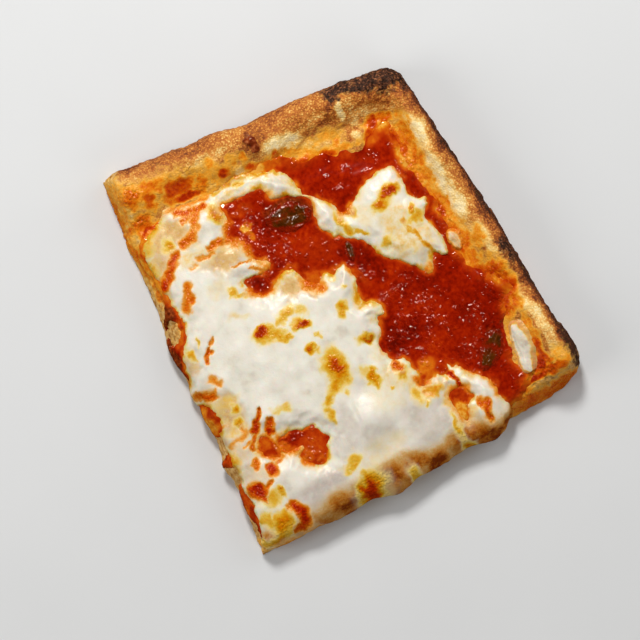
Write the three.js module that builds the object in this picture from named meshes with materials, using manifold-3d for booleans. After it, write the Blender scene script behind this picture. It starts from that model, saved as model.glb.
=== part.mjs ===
// A rectangular slice of thick pan pizza: raised crust on two sides, two cut sides, sauce, melted cheese
// and basil leaves. Units are millimetres, +Z is up, the flat base rests on z = 0 and the origin is the
// centre of the slice's box. Every layer is made on one shared patch of the slice, so the layers nest.
import * as THREE from "three";
import { mergeVertices } from "three/addons/utils/BufferGeometryUtils.js";
import Module from "manifold-3d";

const wasm = await Module();
wasm.setup();

// ---- Driving dimensions ----

// Corners of the crust's outline: the two cut sides meet in the front left corner.
const FRONT_LEFT = [-76.3, -82.6];
const FRONT_RIGHT = [77.9, -77.4];
const BACK_RIGHT = [64.8, 75.6];
const BACK_LEFT = [-66.0, 86.0];

const DOUGH_HEIGHT = 12; // dough under the sauce
const BACK_RIM_HEIGHT = 19; // raised crust along the back
const RIGHT_RIM_HEIGHT = 20; // raised crust along the right
const RIM_ROUND = 6; // how far in the rim's outside rounds over
const RIM_SILHOUETTE = 0.42; // share of the height where the rim is widest
const RIM_TUCK = 2.2; // how far the rim's foot is drawn in below its widest line
const CUT_EDGE_HEIGHT = 0.6; // height of a cut side's lower edge
const LEFT_CUT_FALL = 8; // how far in the left cut side reaches full height
const FRONT_CUT_FALL = 11; // how far in the front cut side reaches full height

const SAUCE_THICKNESS = 1.7;
const SAUCE_EDGE = 0.5;
const CHEESE_THICKNESS = 2.5;
const CHEESE_EDGE = 0.9;
const HEM_UNEVENNESS = 2.0; // how far the cheese's hem on the front side goes up and down
const GAP = 0.3; // clearance between layers
const LEAF_THICKNESS = 0.5;

const INNER_STEP = 5.6; // spacing of the patch's grid away from the edges

// Bumps along a side: place along the side, half width, and how far the side stands out there.
const LEFT_BUMPS = [
  [-58, 12, -1.3],
  [-43, 4, 1.3],
  [-30, 11, -1.2],
  [10, 9, 2.2],
  [56, 6, 1.1],
];
const RIGHT_BUMPS = [
  [60, 11, -0.9],
  [-2, 26, 1.1],
];
const BACK_BUMPS = [
  [-8, 19, -1.5],
  [48, 6, -0.9],
];
const FRONT_BUMPS = [
  [-30, 16, -0.5],
  [55, 9, 0.5],
];

// Bubbles and hollows in the crust: x, y, radius along x, radius along y, height.
const CRUST_BUBBLES = [
  [8, 65, 8, 6, 1.3],
  [-3, 72, 3, 5, 1.1],
  [36, 65, 4, 7, 1.2],
  [21, 58, 8, 4, 0.9],
  [37, 54, 6, 4, 1.2],
  [52, 71, 12, 6, 1.1],
  [-56, 73, 9, 6, 0.8],
  [-18, 66, 7, 4, 0.7],
  [-38, 67, 9, 4, -0.8],
  [26, 68, 4, 8, -1.0],
  [60, 30, 5, 14, 0.6],
  [62, -12, 5, 9, 0.7],
  [66, -30, 5, 7, -1.0],
  [68, -52, 6, 11, 0.9],
  [-66, 20, 4, 10, 0.5],
];

// Lumps and thin places in the cheese: x, y, radius along x, radius along y, height.
const CHEESE_LUMPS = [
  [-36, -12, 24, 24, 1.9],
  [-46, 18, 14, 20, 1.0],
  [-11, -52, 11, 9, 1.8],
  [-49, -57, 12, 8, 1.3],
  [5, -14, 8, 8, 1.7],
  [2, 2, 9, 8, 0.8],
  [32, 8, 10, 14, 0.7],
  [11, 30, 5, 9, 0.7],
  [-2, 51, 8, 4, 0.7],
  [34, -57, 5, 12, 1.1],
  [-8, -79, 17, 6, 2.8],
  [-14, -80, 4, 5, 1.8],
  [30, -77.5, 8, 6, 2.7],
  [-63, -28, 8, 14, -1.3],
  [-56, 50, 12, 9, -1.3],
  [-16, 11, 8, 6, -1.3],
  [-66, -74, 12, 15, -1.2],
];

// Outlines, counted clockwise from the left. Points past a cut side only say that the layer reaches it.
const SAUCE_OUTLINE = [
  [-66, 50], [-60, 57], [-40, 58], [-20, 59], [-5, 60.5], [5, 60], [15, 55], [25, 52.5], [35, 49.5],
  [42, 51], [43, 57], [49, 57.5], [53, 53], [51, 45], [51, 30], [53.5, 15], [54, -10], [57, -16.5],
  [65, -20.5], [67.5, -28], [61.5, -32], [60, -38], [55.5, -44], [54, -50], [53.5, -58], [57.5, -66],
  [50, -71.5], [44, -74.5], [10, -76.5], [-30, -77.5], [-68, -79], [-72.5, -75], [-72.5, -70],
  [-74.3, -66], [-74.3, -56], [-71, -50],
  [-73.5, -43], [-70, -36], [-73, -29], [-72.6, -17], [-69.5, -11], [-72.5, -3], [-73.2, 13], [-70, 19],
  [-66, 27], [-65, 40],
];
const CHEESE_OUTLINE = [
  [-62.5, 30], [-63, 44], [-61, 55], [-52, 59], [-48, 63], [-42, 61], [-35, 60], [-27, 59.5],
  [-17, 62], [-7, 59.5], [2, 55], [5, 50], [5.8, 45], [10, 39], [15, 35], [18, 28.5], [21, 30],
  [26, 33.5], [36, 37], [44, 36.5], [46, 30], [44.8, 23], [50.5, 17.5], [47, 12], [49.5, 0],
  [47.5, -5], [43.5, -2.5], [38.5, -9.5], [33, -3], [25, 5], [19, 15], [12, 20.5], [6.5, 27],
  [6, 33], [7.5, 39], [4, 44], [-5, 46.5], [-9, 53], [-20, 53.5], [-26, 54], [-26, 46], [-29, 41],
  [-24, 36], [-24, 29], [-19, 25], [-21, 21.5], [-31, 22.5], [-30.5, 16], [-24, 13.5], [-19, 17],
  [-12, 17.5], [-9, 12], [-4, 8], [-1, 10], [3, 8], [7.5, 10], [9.5, 6], [9.5, 0], [7.3, -6.5],
  [13, -10], [13.5, -15.5], [10.4, -15.5], [10, -21], [6, -27], [8, -34], [13, -37], [15, -44],
  [14, -50], [20, -47.5], [25.5, -49], [26.8, -45.5], [33, -52], [39, -58], [41, -63], [40.2, -67],
  [42.5, -71], [42.5, -76], [42, -96], [-77, -96], [-73, -77], [-71, -66], [-71, -52], [-70, -38],
  [-68, -28], [-68, -19], [-71.5, -16], [-73.6, -12.5], [-72, -8.5], [-69.5, -4], [-68.5, 4], [-64.5, 12],
];
const CHEESE_HOLES = [
  [[-48, -43.5], [-40, -42], [-33, -45], [-29.5, -50], [-33, -58], [-37, -60], [-42.5, -55],
   [-41, -50], [-47, -47.5]],
  [[22, -58], [28, -57.5], [31, -63], [27, -66], [25, -69.5], [22.5, -65]],
  [[-57.5, -42], [-54, -38], [-51.5, -42], [-50.5, -48.5], [-54, -47.5]],
];
const RIM_STRIP_OUTLINE = [
  [58, -43.5], [61, -44], [62.5, -49], [62, -55], [60, -60], [57.5, -65.5], [54, -62.5], [55.5, -55],
  [56, -48],
];
const RIM_BIT_OUTLINE = [[53, 2.5], [56, 1], [56.5, -4], [54, -6.5], [51.5, -3], [51, 0.5]];

// Basil leaves: middle, direction of the midrib in degrees, length, width, and how far the tips rise.
const LEAVES = {
  basil_leaf_centre: { middle: [-3.6, 37.4], turn: -12, length: 17.5, width: 10.5, curl: 0.7 },
  basil_leaf_front: { middle: [46.2, -49.6], turn: 40, length: 17, width: 6.5, curl: 0.8 },
  basil_leaf_small: { middle: [13.0, 13.7], turn: 82, length: 8, width: 3.4, curl: 0.5 },
};
const LEAF_GAP = 0.5; // clearance between a leaf and the sauce it lies on
const LEAF_WAVE = 0.35; // height of the waves in a leaf

// ---- The patch: the slice's plan as a function of s, left to right, and t, front to back ----

const mix = (a, b, k) => a + (b - a) * k;
const clamp = (v) => Math.min(1, Math.max(0, v));
const ease = (v) => clamp(v) * clamp(v) * (3 - 2 * clamp(v));
const bell = (v) => Math.exp(-v * v);

// How far a side stands out at a place along it. It fades out at the corners.
function sideBump(bumps, place, share) {
  const fade = ease(share / 0.06) * ease((1 - share) / 0.06);
  const sum = bumps.reduce((total, [at, half, out]) => total + out * bell((place - at) / half), 0);
  return fade * sum;
}

// A point of one side of the outline; share runs from its first corner to its last.
function sidePoint(from, to, share, bumps, outward) {
  const x = mix(from[0], to[0], share);
  const y = mix(from[1], to[1], share);
  const out = sideBump(bumps, outward[0] === 0 ? x : y, share);
  return [x + out * outward[0], y + out * outward[1]];
}

// The Coons patch of the four sides, with its right corners rounded by a diagonal pull.
function planPoint(s, t) {
  const left = sidePoint(FRONT_LEFT, BACK_LEFT, t, LEFT_BUMPS, [-1, 0]);
  const right = sidePoint(FRONT_RIGHT, BACK_RIGHT, t, RIGHT_BUMPS, [1, 0]);
  const front = sidePoint(FRONT_LEFT, FRONT_RIGHT, s, FRONT_BUMPS, [0, -1]);
  const back = sidePoint(BACK_LEFT, BACK_RIGHT, s, BACK_BUMPS, [0, 1]);
  const pull = 3.4 * (s * t) ** 16 + 4.5 * (s * (1 - t)) ** 24 + 0.6 * ((1 - s) * t) ** 20;
  return [0, 1].map((k) => {
    const ruled = mix(left[k], right[k], s) + mix(front[k], back[k], t);
    const corners = mix(mix(FRONT_LEFT[k], FRONT_RIGHT[k], s), mix(BACK_LEFT[k], BACK_RIGHT[k], s), t);
    const inward = k === 0 ? -Math.sign(s - 0.5) : -Math.sign(t - 0.5);
    return ruled - corners + inward * pull;
  });
}

// Distances in from the four sides, from the mean lengths of the patch there.
function distances(s, t) {
  const width = mix(FRONT_RIGHT[0] - FRONT_LEFT[0], BACK_RIGHT[0] - BACK_LEFT[0], t);
  const length = mix(BACK_LEFT[1] - FRONT_LEFT[1], BACK_RIGHT[1] - FRONT_RIGHT[1], s);
  return { left: s * width, right: (1 - s) * width, front: t * length, back: (1 - t) * length };
}

// ---- Height of the crust ----

const bumpSum = (bumps, x, y) =>
  bumps.reduce((sum, [bx, by, rx, ry, h]) => sum + h * bell(Math.hypot((x - bx) / rx, (y - by) / ry)), 0);

// A rim's share of its full height: all of it out to the crest, then falling smoothly to its foot.
const rimShare = (d, crest, foot) => 0.5 + 0.5 * Math.cos(Math.PI * clamp((d - crest) / (foot - crest)));

// The rounded outside of a rim, as a share of the height.
function rimOutside(d) {
  const k = 1 - clamp(d / RIM_ROUND);
  return RIM_SILHOUETTE + (1 - RIM_SILHOUETTE) * Math.sqrt(1 - k * k);
}

// A cut side, sloping up from its lower edge and rolling over into the top.
const cutSide = (d, fall) => 1 - (1 - clamp(d / fall)) ** 2;

const waves = (x, y) =>
  0.4 * Math.sin(x / 4.3 + 0.7) * Math.cos(y / 5.1) +
  0.35 * Math.sin((x + y) / 7.7) +
  0.25 * Math.cos((x - 1.6 * y) / 12.9);

function crustHeight(s, t, x, y) {
  const d = distances(s, t);
  const back = rimShare(d.back, 7, mix(25, 20, s));
  const right = rimShare(d.right, 5.5, mix(21, 15, t));
  const rise = 1 - (1 - back) * (1 - right);
  const rimHeight = mix(BACK_RIM_HEIGHT, RIGHT_RIM_HEIGHT, clamp(right + 0.4 * s)) - 2 * back * (1 - s) ** 2;
  const dough = DOUGH_HEIGHT + 0.5 * waves(x, y);
  const top = mix(dough, rimHeight, rise) + rise * waves(x, y) + bumpSum(CRUST_BUBBLES, x, y);
  const cut = cutSide(d.left, LEFT_CUT_FALL) * cutSide(d.front, FRONT_CUT_FALL);
  return CUT_EDGE_HEIGHT + (top - CUT_EDGE_HEIGHT) * rimOutside(d.back) * rimOutside(d.right) * cut;
}

function crustPoint(s, t) {
  const [x, y] = planPoint(s, t);
  return new THREE.Vector3(x, y, crustHeight(s, t, x, y));
}

// The crust's outward direction, from its slopes along s and t.
function crustNormal(s, t) {
  const h = 0.004;
  const [s0, s1] = [Math.max(0, s - h), Math.min(1, s + h)];
  const [t0, t1] = [Math.max(0, t - h), Math.min(1, t + h)];
  const alongS = crustPoint(s1, t).sub(crustPoint(s0, t));
  const alongT = crustPoint(s, t1).sub(crustPoint(s, t0));
  return alongS.cross(alongT).normalize();
}

// ---- Outlines and layer thicknesses ----

function smoothOutline(points, steps) {
  const placed = points.map(([x, y]) => new THREE.Vector3(x, y, 0));
  const curve = new THREE.CatmullRomCurve3(placed, true, "centripetal");
  return curve.getPoints(points.length * steps).slice(0, -1);
}

const sauceEdge = smoothOutline(SAUCE_OUTLINE, 2);
const cheeseEdges = [CHEESE_OUTLINE, ...CHEESE_HOLES].map((points) => smoothOutline(points, 2));

// Distance from a point to the nearest of some closed outlines.
function edgeDistance(edges, x, y) {
  let nearest = Infinity;
  for (const edge of edges) {
    edge.forEach((a, i) => {
      const b = edge[(i + 1) % edge.length];
      const along = clamp(((x - a.x) * (b.x - a.x) + (y - a.y) * (b.y - a.y)) / a.distanceToSquared(b));
      nearest = Math.min(nearest, Math.hypot(x - mix(a.x, b.x, along), y - mix(a.y, b.y, along)));
    });
  }
  return nearest;
}

function isInside(edge, x, y) {
  return edge.reduce((inside, a, i) => {
    const b = edge[(i + 1) % edge.length];
    const crosses = a.y > y !== b.y > y && x < mix(a.x, b.x, (y - a.y) / (b.y - a.y));
    return crosses ? !inside : inside;
  }, false);
}

function sauceThickness(x, y) {
  const reach = edgeDistance([sauceEdge], x, y);
  if (isInside(sauceEdge, x, y)) return mix(SAUCE_EDGE, SAUCE_THICKNESS, ease(reach / 9));
  return SAUCE_EDGE * (1 - ease(reach / 4));
}

// Height of the sauce's top above the crust; past the sauce it sinks to nothing.
const sauceTop = (x, y) => GAP + sauceThickness(x, y);

function cheeseThickness(x, y) {
  const full = CHEESE_THICKNESS + bumpSum(CHEESE_LUMPS, x, y);
  return mix(CHEESE_EDGE, Math.max(CHEESE_EDGE, full), ease(edgeDistance(cheeseEdges, x, y) / 7));
}

// ---- Grids and closed meshes ----

// Grid lines from 0 to 1: some close to each end, in mm of the whole length, and even steps between.
function gridLines(length, near, far) {
  const first = near[near.length - 1];
  const last = length - far[0];
  const steps = Math.round((last - first) / INNER_STEP);
  const inner = Array.from({ length: steps - 1 }, (_, i) => mix(first, last, (i + 1) / steps));
  return [...near, ...inner, ...far.map((d) => length - d)].map((d) => d / length);
}

const S_LINES = gridLines(143, [0, 0.8, 2, 3.6, 5.6, 8, 11.5], [19, 15, 11.5, 8, 5, 2.8, 1.3, 0.4, 0]);
const T_LINES = gridLines(161, [0, 0.8, 2.2, 4, 6.2, 9, 12.5], [25, 20, 16, 12, 8, 5, 2.8, 1.3, 0.4, 0]);

function geometryFrom(points, faces) {
  const positions = points.flatMap((p) => [p.x, p.y, p.z]);
  return new THREE.BufferGeometry()
    .setAttribute("position", new THREE.Float32BufferAttribute(positions, 3))
    .setIndex(faces.flat());
}

// Two triangles for a grid cell with corners a, b, c, d counted anticlockwise.
const cell = (a, b, c, d) => [
  [a, b, c],
  [a, c, d],
];

// The closed sheet between two grids of points, rows first.
function sheetGeometry(lower, upper) {
  const rows = lower.length;
  const columns = lower[0].length;
  const shift = rows * columns;
  const at = (i, j) => i * columns + j;
  const faces = [];
  for (let i = 0; i < rows - 1; i++) {
    for (let j = 0; j < columns - 1; j++) {
      const [a, b, c, d] = [at(i, j), at(i, j + 1), at(i + 1, j + 1), at(i + 1, j)];
      faces.push(...cell(a + shift, b + shift, c + shift, d + shift));
      faces.push([a, c, b], [a, d, c]);
    }
  }
  const wall = (a, b) => faces.push(...cell(a, b, b + shift, a + shift));
  for (let j = 0; j < columns - 1; j++) {
    wall(at(0, j), at(0, j + 1));
    wall(at(rows - 1, j + 1), at(rows - 1, j));
  }
  for (let i = 0; i < rows - 1; i++) {
    wall(at(i, columns - 1), at(i + 1, columns - 1));
    wall(at(i + 1, 0), at(i, 0));
  }
  return geometryFrom([...lower.flat(), ...upper.flat()], faces);
}

// ---- Solids ----

function solidOf(geometry) {
  const bare = geometry.clone();
  bare.deleteAttribute("normal");
  bare.deleteAttribute("uv");
  const merged = mergeVertices(bare, 1e-4);
  return new wasm.Manifold(
    new wasm.Mesh({
      numProp: 3,
      vertProperties: merged.attributes.position.array,
      triVerts: new Uint32Array(merged.index.array),
    }),
  );
}

function geometryOf(solid) {
  const mesh = solid.getMesh();
  return new THREE.BufferGeometry()
    .setAttribute("position", new THREE.BufferAttribute(mesh.vertProperties, 3))
    .setIndex(new THREE.BufferAttribute(mesh.triVerts, 1));
}

// An upright prism over an outline, past the slice's top and base.
function prism(outline, holes) {
  const flat = (edge) => edge.map((p) => new THREE.Vector2(p.x, p.y));
  const shape = new THREE.Shape(flat(outline).reverse());
  shape.holes = holes.map((hole) => new THREE.Path(flat(hole)));
  const geometry = new THREE.ExtrudeGeometry(shape, { depth: 60, bevelEnabled: false });
  return solidOf(geometry.translate(0, 0, -10));
}

// The part of a layer inside an outline. The layer lies between two heights above the crust, measured
// along the crust's own outward direction, over a stretch of the patch's grid.
function layerSolid(lowAbove, highAbove, sLines, tLines, outline, holes = [], lift = () => 0) {
  const grid = (above) =>
    tLines.map((line) =>
      sLines.map((s) => {
        const t = line + lift(s, line);
        const base = crustPoint(s, t);
        return base.clone().addScaledVector(crustNormal(s, t), above(base.x, base.y));
      }),
    );
  const sheet = solidOf(sheetGeometry(grid(lowAbove), grid(highAbove)));
  const bodies = sheet.intersect(prism(outline, holes)).decompose();
  return bodies.reduce((best, body) => (body.volume() > best.volume() ? body : best));
}

// The dough with its rims: the patch's top, a wall of rings drawn in to the base, and the flat base.
function crustGeometry() {
  const rows = T_LINES.length;
  const columns = S_LINES.length;
  const points = T_LINES.flatMap((t) => S_LINES.map((s) => crustPoint(s, t)));
  const at = (i, j) => i * columns + j;
  const faces = [];
  for (let i = 0; i < rows - 1; i++) {
    for (let j = 0; j < columns - 1; j++) {
      faces.push(...cell(at(i, j), at(i, j + 1), at(i + 1, j + 1), at(i + 1, j)));
    }
  }
  const border = [];
  for (let j = 0; j < columns - 1; j++) border.push(at(0, j));
  for (let i = 0; i < rows - 1; i++) border.push(at(i, columns - 1));
  for (let j = columns - 1; j > 0; j--) border.push(at(rows - 1, j));
  for (let i = rows - 1; i > 0; i--) border.push(at(i, 0));
  const middle = new THREE.Vector3(0, 0, 0);
  const ringShares = [0.55, 1];
  let above = border;
  for (const share of ringShares) {
    const ring = border.map((index) => {
      const p = points[index];
      const tuck = (RIM_TUCK * share * share * p.z) / (RIM_SILHOUETTE * BACK_RIM_HEIGHT);
      const inward = middle.clone().sub(p).setZ(0).normalize();
      points.push(p.clone().addScaledVector(inward, tuck).setZ(p.z * (1 - share)));
      return points.length - 1;
    });
    ring.forEach((_, k) => {
      const next = (k + 1) % ring.length;
      faces.push(...cell(ring[k], ring[next], above[next], above[k]));
    });
    above = ring;
  }
  points.push(middle);
  above.forEach((_, k) => faces.push([above[(k + 1) % above.length], above[k], points.length - 1]));
  return geometryFrom(points, faces);
}

const between = (lines, low, high) => lines.filter((v) => v >= low && v <= high);

// The sauce, out to both cut sides.
function sauceSolid() {
  const sLines = between(S_LINES, 0.7 / 143, 0.97);
  const tLines = between(T_LINES, 3.9 / 161, 0.9);
  return layerSolid(() => GAP, sauceTop, sLines, tLines, sauceEdge);
}

// The melted cheese, over the sauce and down the front cut side to an uneven hem.
function cheeseSolid() {
  const tLines = between(T_LINES, 0.7 / 161, 0.93);
  const low = (x, y) => sauceTop(x, y) + GAP;
  const high = (x, y) => low(x, y) + cheeseThickness(x, y);
  const sLines = between(S_LINES, 0, 0.97);
  return layerSolid(low, high, sLines, tLines, cheeseEdges[0], cheeseEdges.slice(1), hemLift);
}

// How far the cheese's lowest rows are drawn up the front side, which leaves lobes and drips between.
function hemLift(s, t) {
  const scallop = 0.5 + 0.3 * Math.sin(41 * s + 1) + 0.2 * Math.sin(17 * s);
  return (HEM_UNEVENNESS / 161) * scallop * (1 - ease(t / 0.05));
}

// A thin piece of cheese that lies on the rim beside the sauce, on a stretch of grid just past it.
function rimCheeseSolid(points) {
  const edge = smoothOutline(points, 2);
  const low = (x, y) => sauceTop(x, y) + GAP;
  const high = (x, y) => low(x, y) + mix(0.7, 1.9, ease(edgeDistance([edge], x, y) / 3));
  const reach = new THREE.Box3().setFromPoints(edge).expandByScalar(3);
  const halved = (lines) => lines.flatMap((v, i) => (i ? [mix(lines[i - 1], v, 0.5), v] : [v]));
  const sLines = halved(S_LINES).filter((s) => {
    const [x] = planPoint(s, 0.3);
    return x > reach.min.x && x < reach.max.x;
  });
  const tLines = halved(T_LINES).filter((t) => {
    const [, y] = planPoint(0.9, t);
    return y > reach.min.y && y < reach.max.y;
  });
  return layerSolid(low, high, sLines, tLines, edge);
}

// The patch's s and t at a place in plan, by a few Newton steps.
function patchAt(x, y) {
  let s = 0.5 + x / 145;
  let t = 0.5 + y / 165;
  for (let step = 0; step < 12; step++) {
    const [px, py] = planPoint(s, t);
    s += (x - px) / 145;
    t += (y - py) / 163;
  }
  return [s, t];
}

// A basil leaf: pointed at both ends, cupped along its midrib and waved along its length.
function leafGeometry({ middle, turn, length, width, curl }) {
  const angle = THREE.MathUtils.degToRad(turn);
  const along = Array.from({ length: 9 }, (_, i) => i / 8);
  const across = [1, 0.5, 0, -0.5, -1];
  const lower = along.map((a) =>
    across.map((b) => {
      const half = 0.5 * width * mix(0.08, 1, Math.sin(Math.PI * a) ** 0.8);
      const [u, v] = [(a - 0.5) * length, b * half];
      const x = middle[0] + u * Math.cos(angle) - v * Math.sin(angle);
      const y = middle[1] + u * Math.sin(angle) + v * Math.cos(angle);
      const base = crustPoint(...patchAt(x, y)).z + sauceTop(x, y) + LEAF_GAP;
      const wave = LEAF_WAVE * (1 + Math.sin(7 * a + 2.2 * b));
      return new THREE.Vector3(x, y, base + wave + curl * (2 * a - 1) ** 4);
    }),
  );
  const upper = lower.map((row) => row.map((p) => p.clone().setZ(p.z + LEAF_THICKNESS)));
  return sheetGeometry(lower, upper);
}

// ---- The slice ----

const CRUST_FINISH = { color: "#c98a4b", roughness: 0.8, metalness: 0 };
const SAUCE_FINISH = { color: "#98200a", roughness: 0.3, metalness: 0 };
const CHEESE_FINISH = { color: "#ece2ce", roughness: 0.35, metalness: 0 };
const BASIL_FINISH = { color: "#3a2c12", roughness: 0.45, metalness: 0 };

const slice = new THREE.Group();

function addPiece(name, geometry, finish) {
  const mesh = new THREE.Mesh(geometry, new THREE.MeshStandardMaterial(finish));
  mesh.name = name;
  slice.add(mesh);
}

addPiece("crust", crustGeometry(), CRUST_FINISH);
addPiece("sauce", geometryOf(sauceSolid()), SAUCE_FINISH);
addPiece("cheese", geometryOf(cheeseSolid()), CHEESE_FINISH);
addPiece("cheese_rim_strip", geometryOf(rimCheeseSolid(RIM_STRIP_OUTLINE)), CHEESE_FINISH);
addPiece("cheese_rim_bit", geometryOf(rimCheeseSolid(RIM_BIT_OUTLINE)), CHEESE_FINISH);
for (const [name, leaf] of Object.entries(LEAVES)) addPiece(name, leafGeometry(leaf), BASIL_FINISH);

export default slice;
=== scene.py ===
# %% [markdown]
# A square cut slice of thick pan pizza, seen from straight above. It has raised, baked crust on two
# sides and two cut sides. Red sauce lies on the dough, melted cheese lies on the sauce and runs down the
# cut sides, and three basil leaves lie in the sauce. It could be sculpted by hand, but then the layers
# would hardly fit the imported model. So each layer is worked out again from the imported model's numbers on
# a much finer grid, and then it gets its baked, wet or melted finish.

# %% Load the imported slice
import math

import bpy
import numpy as np
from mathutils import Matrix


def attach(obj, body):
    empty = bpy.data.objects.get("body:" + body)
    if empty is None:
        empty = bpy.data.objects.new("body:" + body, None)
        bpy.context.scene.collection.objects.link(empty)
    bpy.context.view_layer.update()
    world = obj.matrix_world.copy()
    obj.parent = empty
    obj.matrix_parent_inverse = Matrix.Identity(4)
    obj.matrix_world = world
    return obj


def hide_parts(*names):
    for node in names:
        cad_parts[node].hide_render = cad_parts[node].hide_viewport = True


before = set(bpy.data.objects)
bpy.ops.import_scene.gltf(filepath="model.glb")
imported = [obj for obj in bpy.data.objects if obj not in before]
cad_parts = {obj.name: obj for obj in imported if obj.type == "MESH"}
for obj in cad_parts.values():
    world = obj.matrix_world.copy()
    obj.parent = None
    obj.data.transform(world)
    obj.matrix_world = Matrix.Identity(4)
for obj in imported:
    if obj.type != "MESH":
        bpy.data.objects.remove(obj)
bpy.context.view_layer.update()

MM = 0.001
print("nodes:", sorted(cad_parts))

# %% [markdown]
# Small tools come first. Food has no straight lines, so nearly every shape below is a sum of soft steps,
# bells and random waves. A soft step is smooth at both ends, a bell is a round hump, and random waves come
# from noise: random numbers on a lattice, blended smoothly between the lattice points. Blender has noise
# textures too, but noise in numpy can shape a layer, fray its edge and say where it is browned.

# %% Soft steps, bells and bands
def mix(a, b, k):
    """The value a share k of the way from a to b."""
    return a + (b - a) * k


def clamp(v):
    """v, held between 0 and 1."""
    return np.clip(v, 0.0, 1.0)


def ease(v):
    """A soft step from 0 to 1: three times v squared less two times v cubed."""
    v = clamp(v)
    return v * v * (3 - 2 * v)


def bell(v):
    """A round hump: e to the power of minus v squared."""
    return np.exp(-v * v)


def band(depth, width):
    """A band along an edge: 1 at the edge and outside it, and half a bell of a width inwards."""
    return bell(np.maximum(depth, 0) / width)


print("a soft step at a quarter:", float(ease(0.25)))

# %% Noise
LATTICE_PRIMES = (73856093, 19349663, 83492791)
LATTICE_TABLE = 4096
WAVE_GAIN = 1.6


def hashed(cells, seed, count):
    """Random numbers from 0 to 1 for whole-numbered lattice cells. A cell's three numbers, each times a
    large prime, are joined bit by bit and looked up in a table, so a cell always gets the same."""
    table = np.random.default_rng(seed).uniform(0, 1, (LATTICE_TABLE, count))
    key = np.bitwise_xor.reduce(cells * LATTICE_PRIMES, axis=-1)
    return table[key % LATTICE_TABLE]


def waves(points, size, seed):
    """Random waves from about -1 to 1: lattice values a given size apart, blended with soft steps."""
    place = points / size
    low = np.floor(place).astype(np.int64)
    part = ease(place - low)
    total = 0.0
    for corner in np.ndindex(2, 2, 2):
        weight = np.prod(np.where(np.array(corner), part, 1 - part), axis=-1)
        total = total + weight * (2 * hashed(low + corner, seed, 1)[..., 0] - 1)
    return WAVE_GAIN * total


def pits(points, size, seed):
    """Distance to the nearest of some scattered points, one in each lattice cell, as a share of the size."""
    place = points / size
    low = np.floor(place).astype(np.int64)
    nearest = np.full(points.shape[:-1], np.inf)
    for step in np.ndindex(3, 3, 3):
        cell = low + np.array(step) - 1
        gap = np.linalg.norm(cell + hashed(cell, seed, 3) - place, axis=-1)
        nearest = np.minimum(nearest, gap)
    return nearest


print("waves at three places:", waves(np.eye(3), 2, 1).round(2).tolist())

# %% [markdown]
# The slice's plan is a patch between four curved sides. Its two parameters are s, from the left cut side
# to the right rim, and t, from the front cut side to the back rim. A bent plane would do for the looks,
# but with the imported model's own numbers, in millimetres, a layer made here lies where its solid lies.

# %% The plan of the slice
FRONT_LEFT = (-76.3, -82.6)
FRONT_RIGHT = (77.9, -77.4)
BACK_RIGHT = (64.8, 75.6)
BACK_LEFT = (-66.0, 86.0)
LEFT_BUMPS = [(-58, 12, -1.3), (-43, 4, 1.3), (-30, 11, -1.2), (10, 9, 2.2), (56, 6, 1.1)]
RIGHT_BUMPS = [(60, 11, -0.9), (-2, 26, 1.1)]
BACK_BUMPS = [(-8, 19, -1.5), (48, 6, -0.9)]
FRONT_BUMPS = [(-30, 16, -0.5), (55, 9, 0.5)]
CORNER_FADE = 0.06
WIDTH = 143.0
LENGTH = 161.0


def side_point(start, end, share, bumps, outward):
    """A side of the plan: a straight line, pushed outwards by bells that fade out at the corners."""
    x = mix(start[0], end[0], share)
    y = mix(start[1], end[1], share)
    place = x if outward[0] == 0 else y
    fade = ease(share / CORNER_FADE) * ease((1 - share) / CORNER_FADE)
    out = fade * sum(height * bell((place - at) / half) for at, half, height in bumps)
    return np.stack([x + out * outward[0], y + out * outward[1]], axis=-1)


def plan_point(s, t):
    """The patch between four sides: both pairs of sides blended, less the blend of the corners. Three
    corners are drawn in along a diagonal, by a high power of how near they are."""
    left = side_point(FRONT_LEFT, BACK_LEFT, t, LEFT_BUMPS, (-1, 0))
    right = side_point(FRONT_RIGHT, BACK_RIGHT, t, RIGHT_BUMPS, (1, 0))
    front = side_point(FRONT_LEFT, FRONT_RIGHT, s, FRONT_BUMPS, (0, -1))
    back = side_point(BACK_LEFT, BACK_RIGHT, s, BACK_BUMPS, (0, 1))
    corners = [np.array(corner) for corner in (FRONT_LEFT, FRONT_RIGHT, BACK_LEFT, BACK_RIGHT)]
    s1, t1 = s[..., None], t[..., None]
    ruled = mix(left, right, s1) + mix(front, back, t1)
    flat = mix(mix(corners[0], corners[1], s1), mix(corners[2], corners[3], s1), t1)
    pull = 3.4 * (s * t) ** 16 + 4.5 * (s * (1 - t)) ** 24 + 0.6 * ((1 - s) * t) ** 20
    inward = -np.sign(np.stack([s - 0.5, t - 0.5], axis=-1))
    return ruled - flat + inward * pull[..., None]


def distances(s, t):
    """Distance in from the left, right, front and back side, in mm."""
    width = mix(FRONT_RIGHT[0] - FRONT_LEFT[0], BACK_RIGHT[0] - BACK_LEFT[0], t)
    length = mix(BACK_LEFT[1] - FRONT_LEFT[1], BACK_RIGHT[1] - FRONT_RIGHT[1], s)
    return s * width, (1 - s) * width, t * length, (1 - t) * length


print("middle of the plan in mm:", plan_point(np.array(0.5), np.array(0.5)).round(1).tolist())

# %% [markdown]
# The dough's height is the second half of the shape: flat dough in the middle, a puffed rim along the
# back and the right, and cut sides that slope down to a thin lower edge. Bubbles are added as bells. A
# sculpting brush would be quicker for one look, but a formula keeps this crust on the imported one.

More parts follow.
